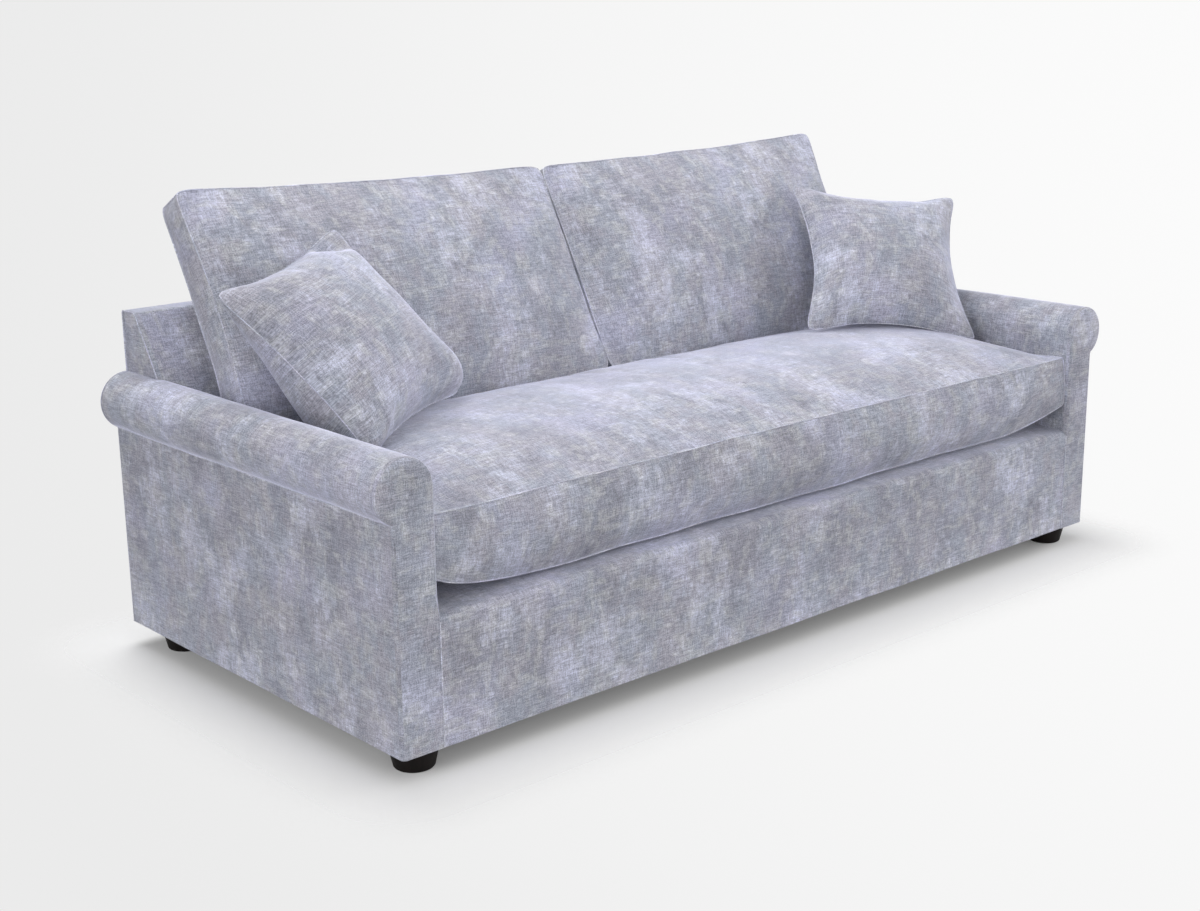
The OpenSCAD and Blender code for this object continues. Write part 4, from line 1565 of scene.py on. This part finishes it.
@dataclass
class Studio:
    """The pale floor, the light and the camera."""

    lens: float = 52.958
    camera_at: Triple = (-2.6991, -2.8802, 1.3604)
    yaw: float = 41.7095
    pitch: float = -14.7714
    roll: float = -0.6789
    paint: float = 0.83
    fade: Spot = (-0.06, 0.26)
    light: float = 0.30
    brighter: Triple = (2.115, 0.876, -0.175)
    brighter_from: Spot = (1.545, 2.545)
    lamps: tuple[Lamp, ...] = (
        Lamp("overhead_lamp", (-0.5, -0.4, 3.6), 3.6, 29.0),
        Lamp("rear_lamp", (0.0, 1.8, 3.4), 2.5, 92.0),
        Lamp("front_lamp", (-0.8, -5.2, 2.3), 3.0, 37.0),
        Lamp("low_front_lamp", (-2.6, -4.2, 0.7), 2.5, 44.0),
        Lamp("left_lamp", (-5.2, -0.8, 2.0), 3.0, 102.0),
        Lamp("right_lamp", (5.0, -2.0, 2.0), 3.0, 120.0),
        Lamp("low_right_lamp", (3.5, -4.5, 1.0), 2.5, 50.0),
    )

    def floor(self) -> None:
        """Lays a floor that fades into the world, but keeps the sofa's shadow."""
        clear_selection()
        bpy.ops.mesh.primitive_circle_add(vertices=96, radius=9.0, fill_type="NGON", location=(0, 0, 0))
        floor = bpy.context.object
        floor.name = floor.data.name = "studio_floor"
        material, graph, shader = new_material("pale_floor")
        paint = (self.paint, self.paint, self.paint, 1.0)
        graph.feed(shader, {"Base Color": paint, "Roughness": 0.95, "Specular IOR Level": 0.0})
        place = graph.vector("ABSOLUTE", graph.add("TexCoord").outputs["Object"])
        away = graph.vector("MAXIMUM", graph.vector("SUBTRACT", place, (SOFA.arm_out, SOFA.rear, 0.0)))
        fade = graph.ramp(graph.vector("LENGTH", away, out=1), *self.fade)
        mixed = graph.add("MixShader", {
            0: fade, 1: shader.outputs[0], 2: graph.add("BsdfTransparent").outputs[0],
        })
        end = next(node for node in graph.tree.nodes if node.type == "OUTPUT_MATERIAL")
        graph.feed(end, {"Surface": mixed.outputs[0]})
        floor.data.materials.append(material)

    def world(self) -> None:
        """Sets the even light from all round, and the pale background that the camera sees."""
        world = bpy.data.worlds.new("studio")
        world.use_nodes = True
        bpy.context.scene.world = world
        graph = Graph(world.node_tree)
        side = graph.vector("DOT_PRODUCT", graph.add("TexCoord").outputs["Generated"], self.brighter, 1)
        pale = graph.blend(graph.ramp(side, *self.brighter_from), srgb(235, 235, 235), srgb(254, 254, 254))
        seen = graph.add("Background", {"Color": pale, "Strength": 1.0})
        light = graph.add("Background", {"Color": (1.0, 1.0, 1.0, 1.0), "Strength": self.light})
        path = graph.add("LightPath").outputs
        shown = graph.math("MAXIMUM", path["Is Camera Ray"], path["Is Glossy Ray"])
        shown = graph.math("MAXIMUM", shown, path["Is Transmission Ray"])
        mixed = graph.add("MixShader", {0: shown, 1: light.outputs[0], 2: seen.outputs[0]})
        graph.add("OutputWorld", {"Surface": mixed.outputs[0]})

    def camera(self) -> None:
        """Sets the camera at the photographed view."""
        data = bpy.data.cameras.new("camera")
        data.sensor_width = 36.0
        data.lens = self.lens
        data.clip_end = 60.0
        camera = bpy.data.objects.new("camera", data)
        turns = ((-self.yaw, "Z"), (90 + self.pitch, "X"), (self.roll, "Z"))
        camera.matrix_world = Matrix.Translation(self.camera_at)
        for angle, axis in turns:
            camera.matrix_world @= Matrix.Rotation(math.radians(angle), 4, axis)
        bpy.context.collection.objects.link(camera)
        bpy.context.scene.camera = camera

    def build(self) -> None:
        """Sets up the whole studio."""
        self.floor()
        self.world()
        for lamp in self.lamps:
            lamp.build()
        self.camera()
        bpy.context.scene.view_settings.view_transform = "Standard"


def dress_frame(frame: dict, shop: Workshop) -> None:
    """Gives each carried-over node of the frame its own finish.

    Args:
        shop: The workshop with the materials.
    """
    slots = {part["node"]: part["material_slot"] for part in frame["record"]["subparts"]}
    for node, item in frame["nodes"].items():
        material = shop.inner.get(slots[node], shop.velvet)
        item.data.materials.clear()
        item.data.materials.append(material)
        LOG.info("%s: %s", node, material.name)


def main() -> None:
    """Dresses the sofa and sets up its studio."""
    logging.basicConfig(level=logging.INFO, format="%(name)s %(message)s")
    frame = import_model()
    threads = Threads().group()
    shop = Workshop(
        velvet=WashedVelvet().material(threads),
        # The seam cloth is lifted a third above the velvet: painted highlight along every welt.
        seam=WashedVelvet(name="velvet_seam", lift=1.25).material(threads),
        inner={slot: finish.material() for slot, finish in inner_finishes().items()},
    )
    dress_frame(frame, shop)
    for covers in (ArmCovers(), BackCovers(), SeatCovers()):
        covers.build(shop)
    seat = SeatCushion()
    seat.build(shop)
    left, right = (BackCushion(side, seat) for side in Side)
    left.build(shop)
    right.build(shop)
    ScatterCushion(
        Side.LEFT, seat, left, (-0.751, 0.069, 0.673), -20.6, 39.4, 10.4, full=0.108, behind=0.115,
        flap=(0.55, 0.24), plump=0.9, foot=(-0.024, -0.052, 0.043), nip=0.006,
    ).build(shop)
    ScatterCushion(
        Side.RIGHT, seat, right, (0.812, -0.030, 0.684), 27.0, 41.4, -8.3,
        draw=0.17, swell=0.60, rear_swell=0.68,
    ).build(shop)
    Studio().build()


if __name__ == "__main__":
    main()
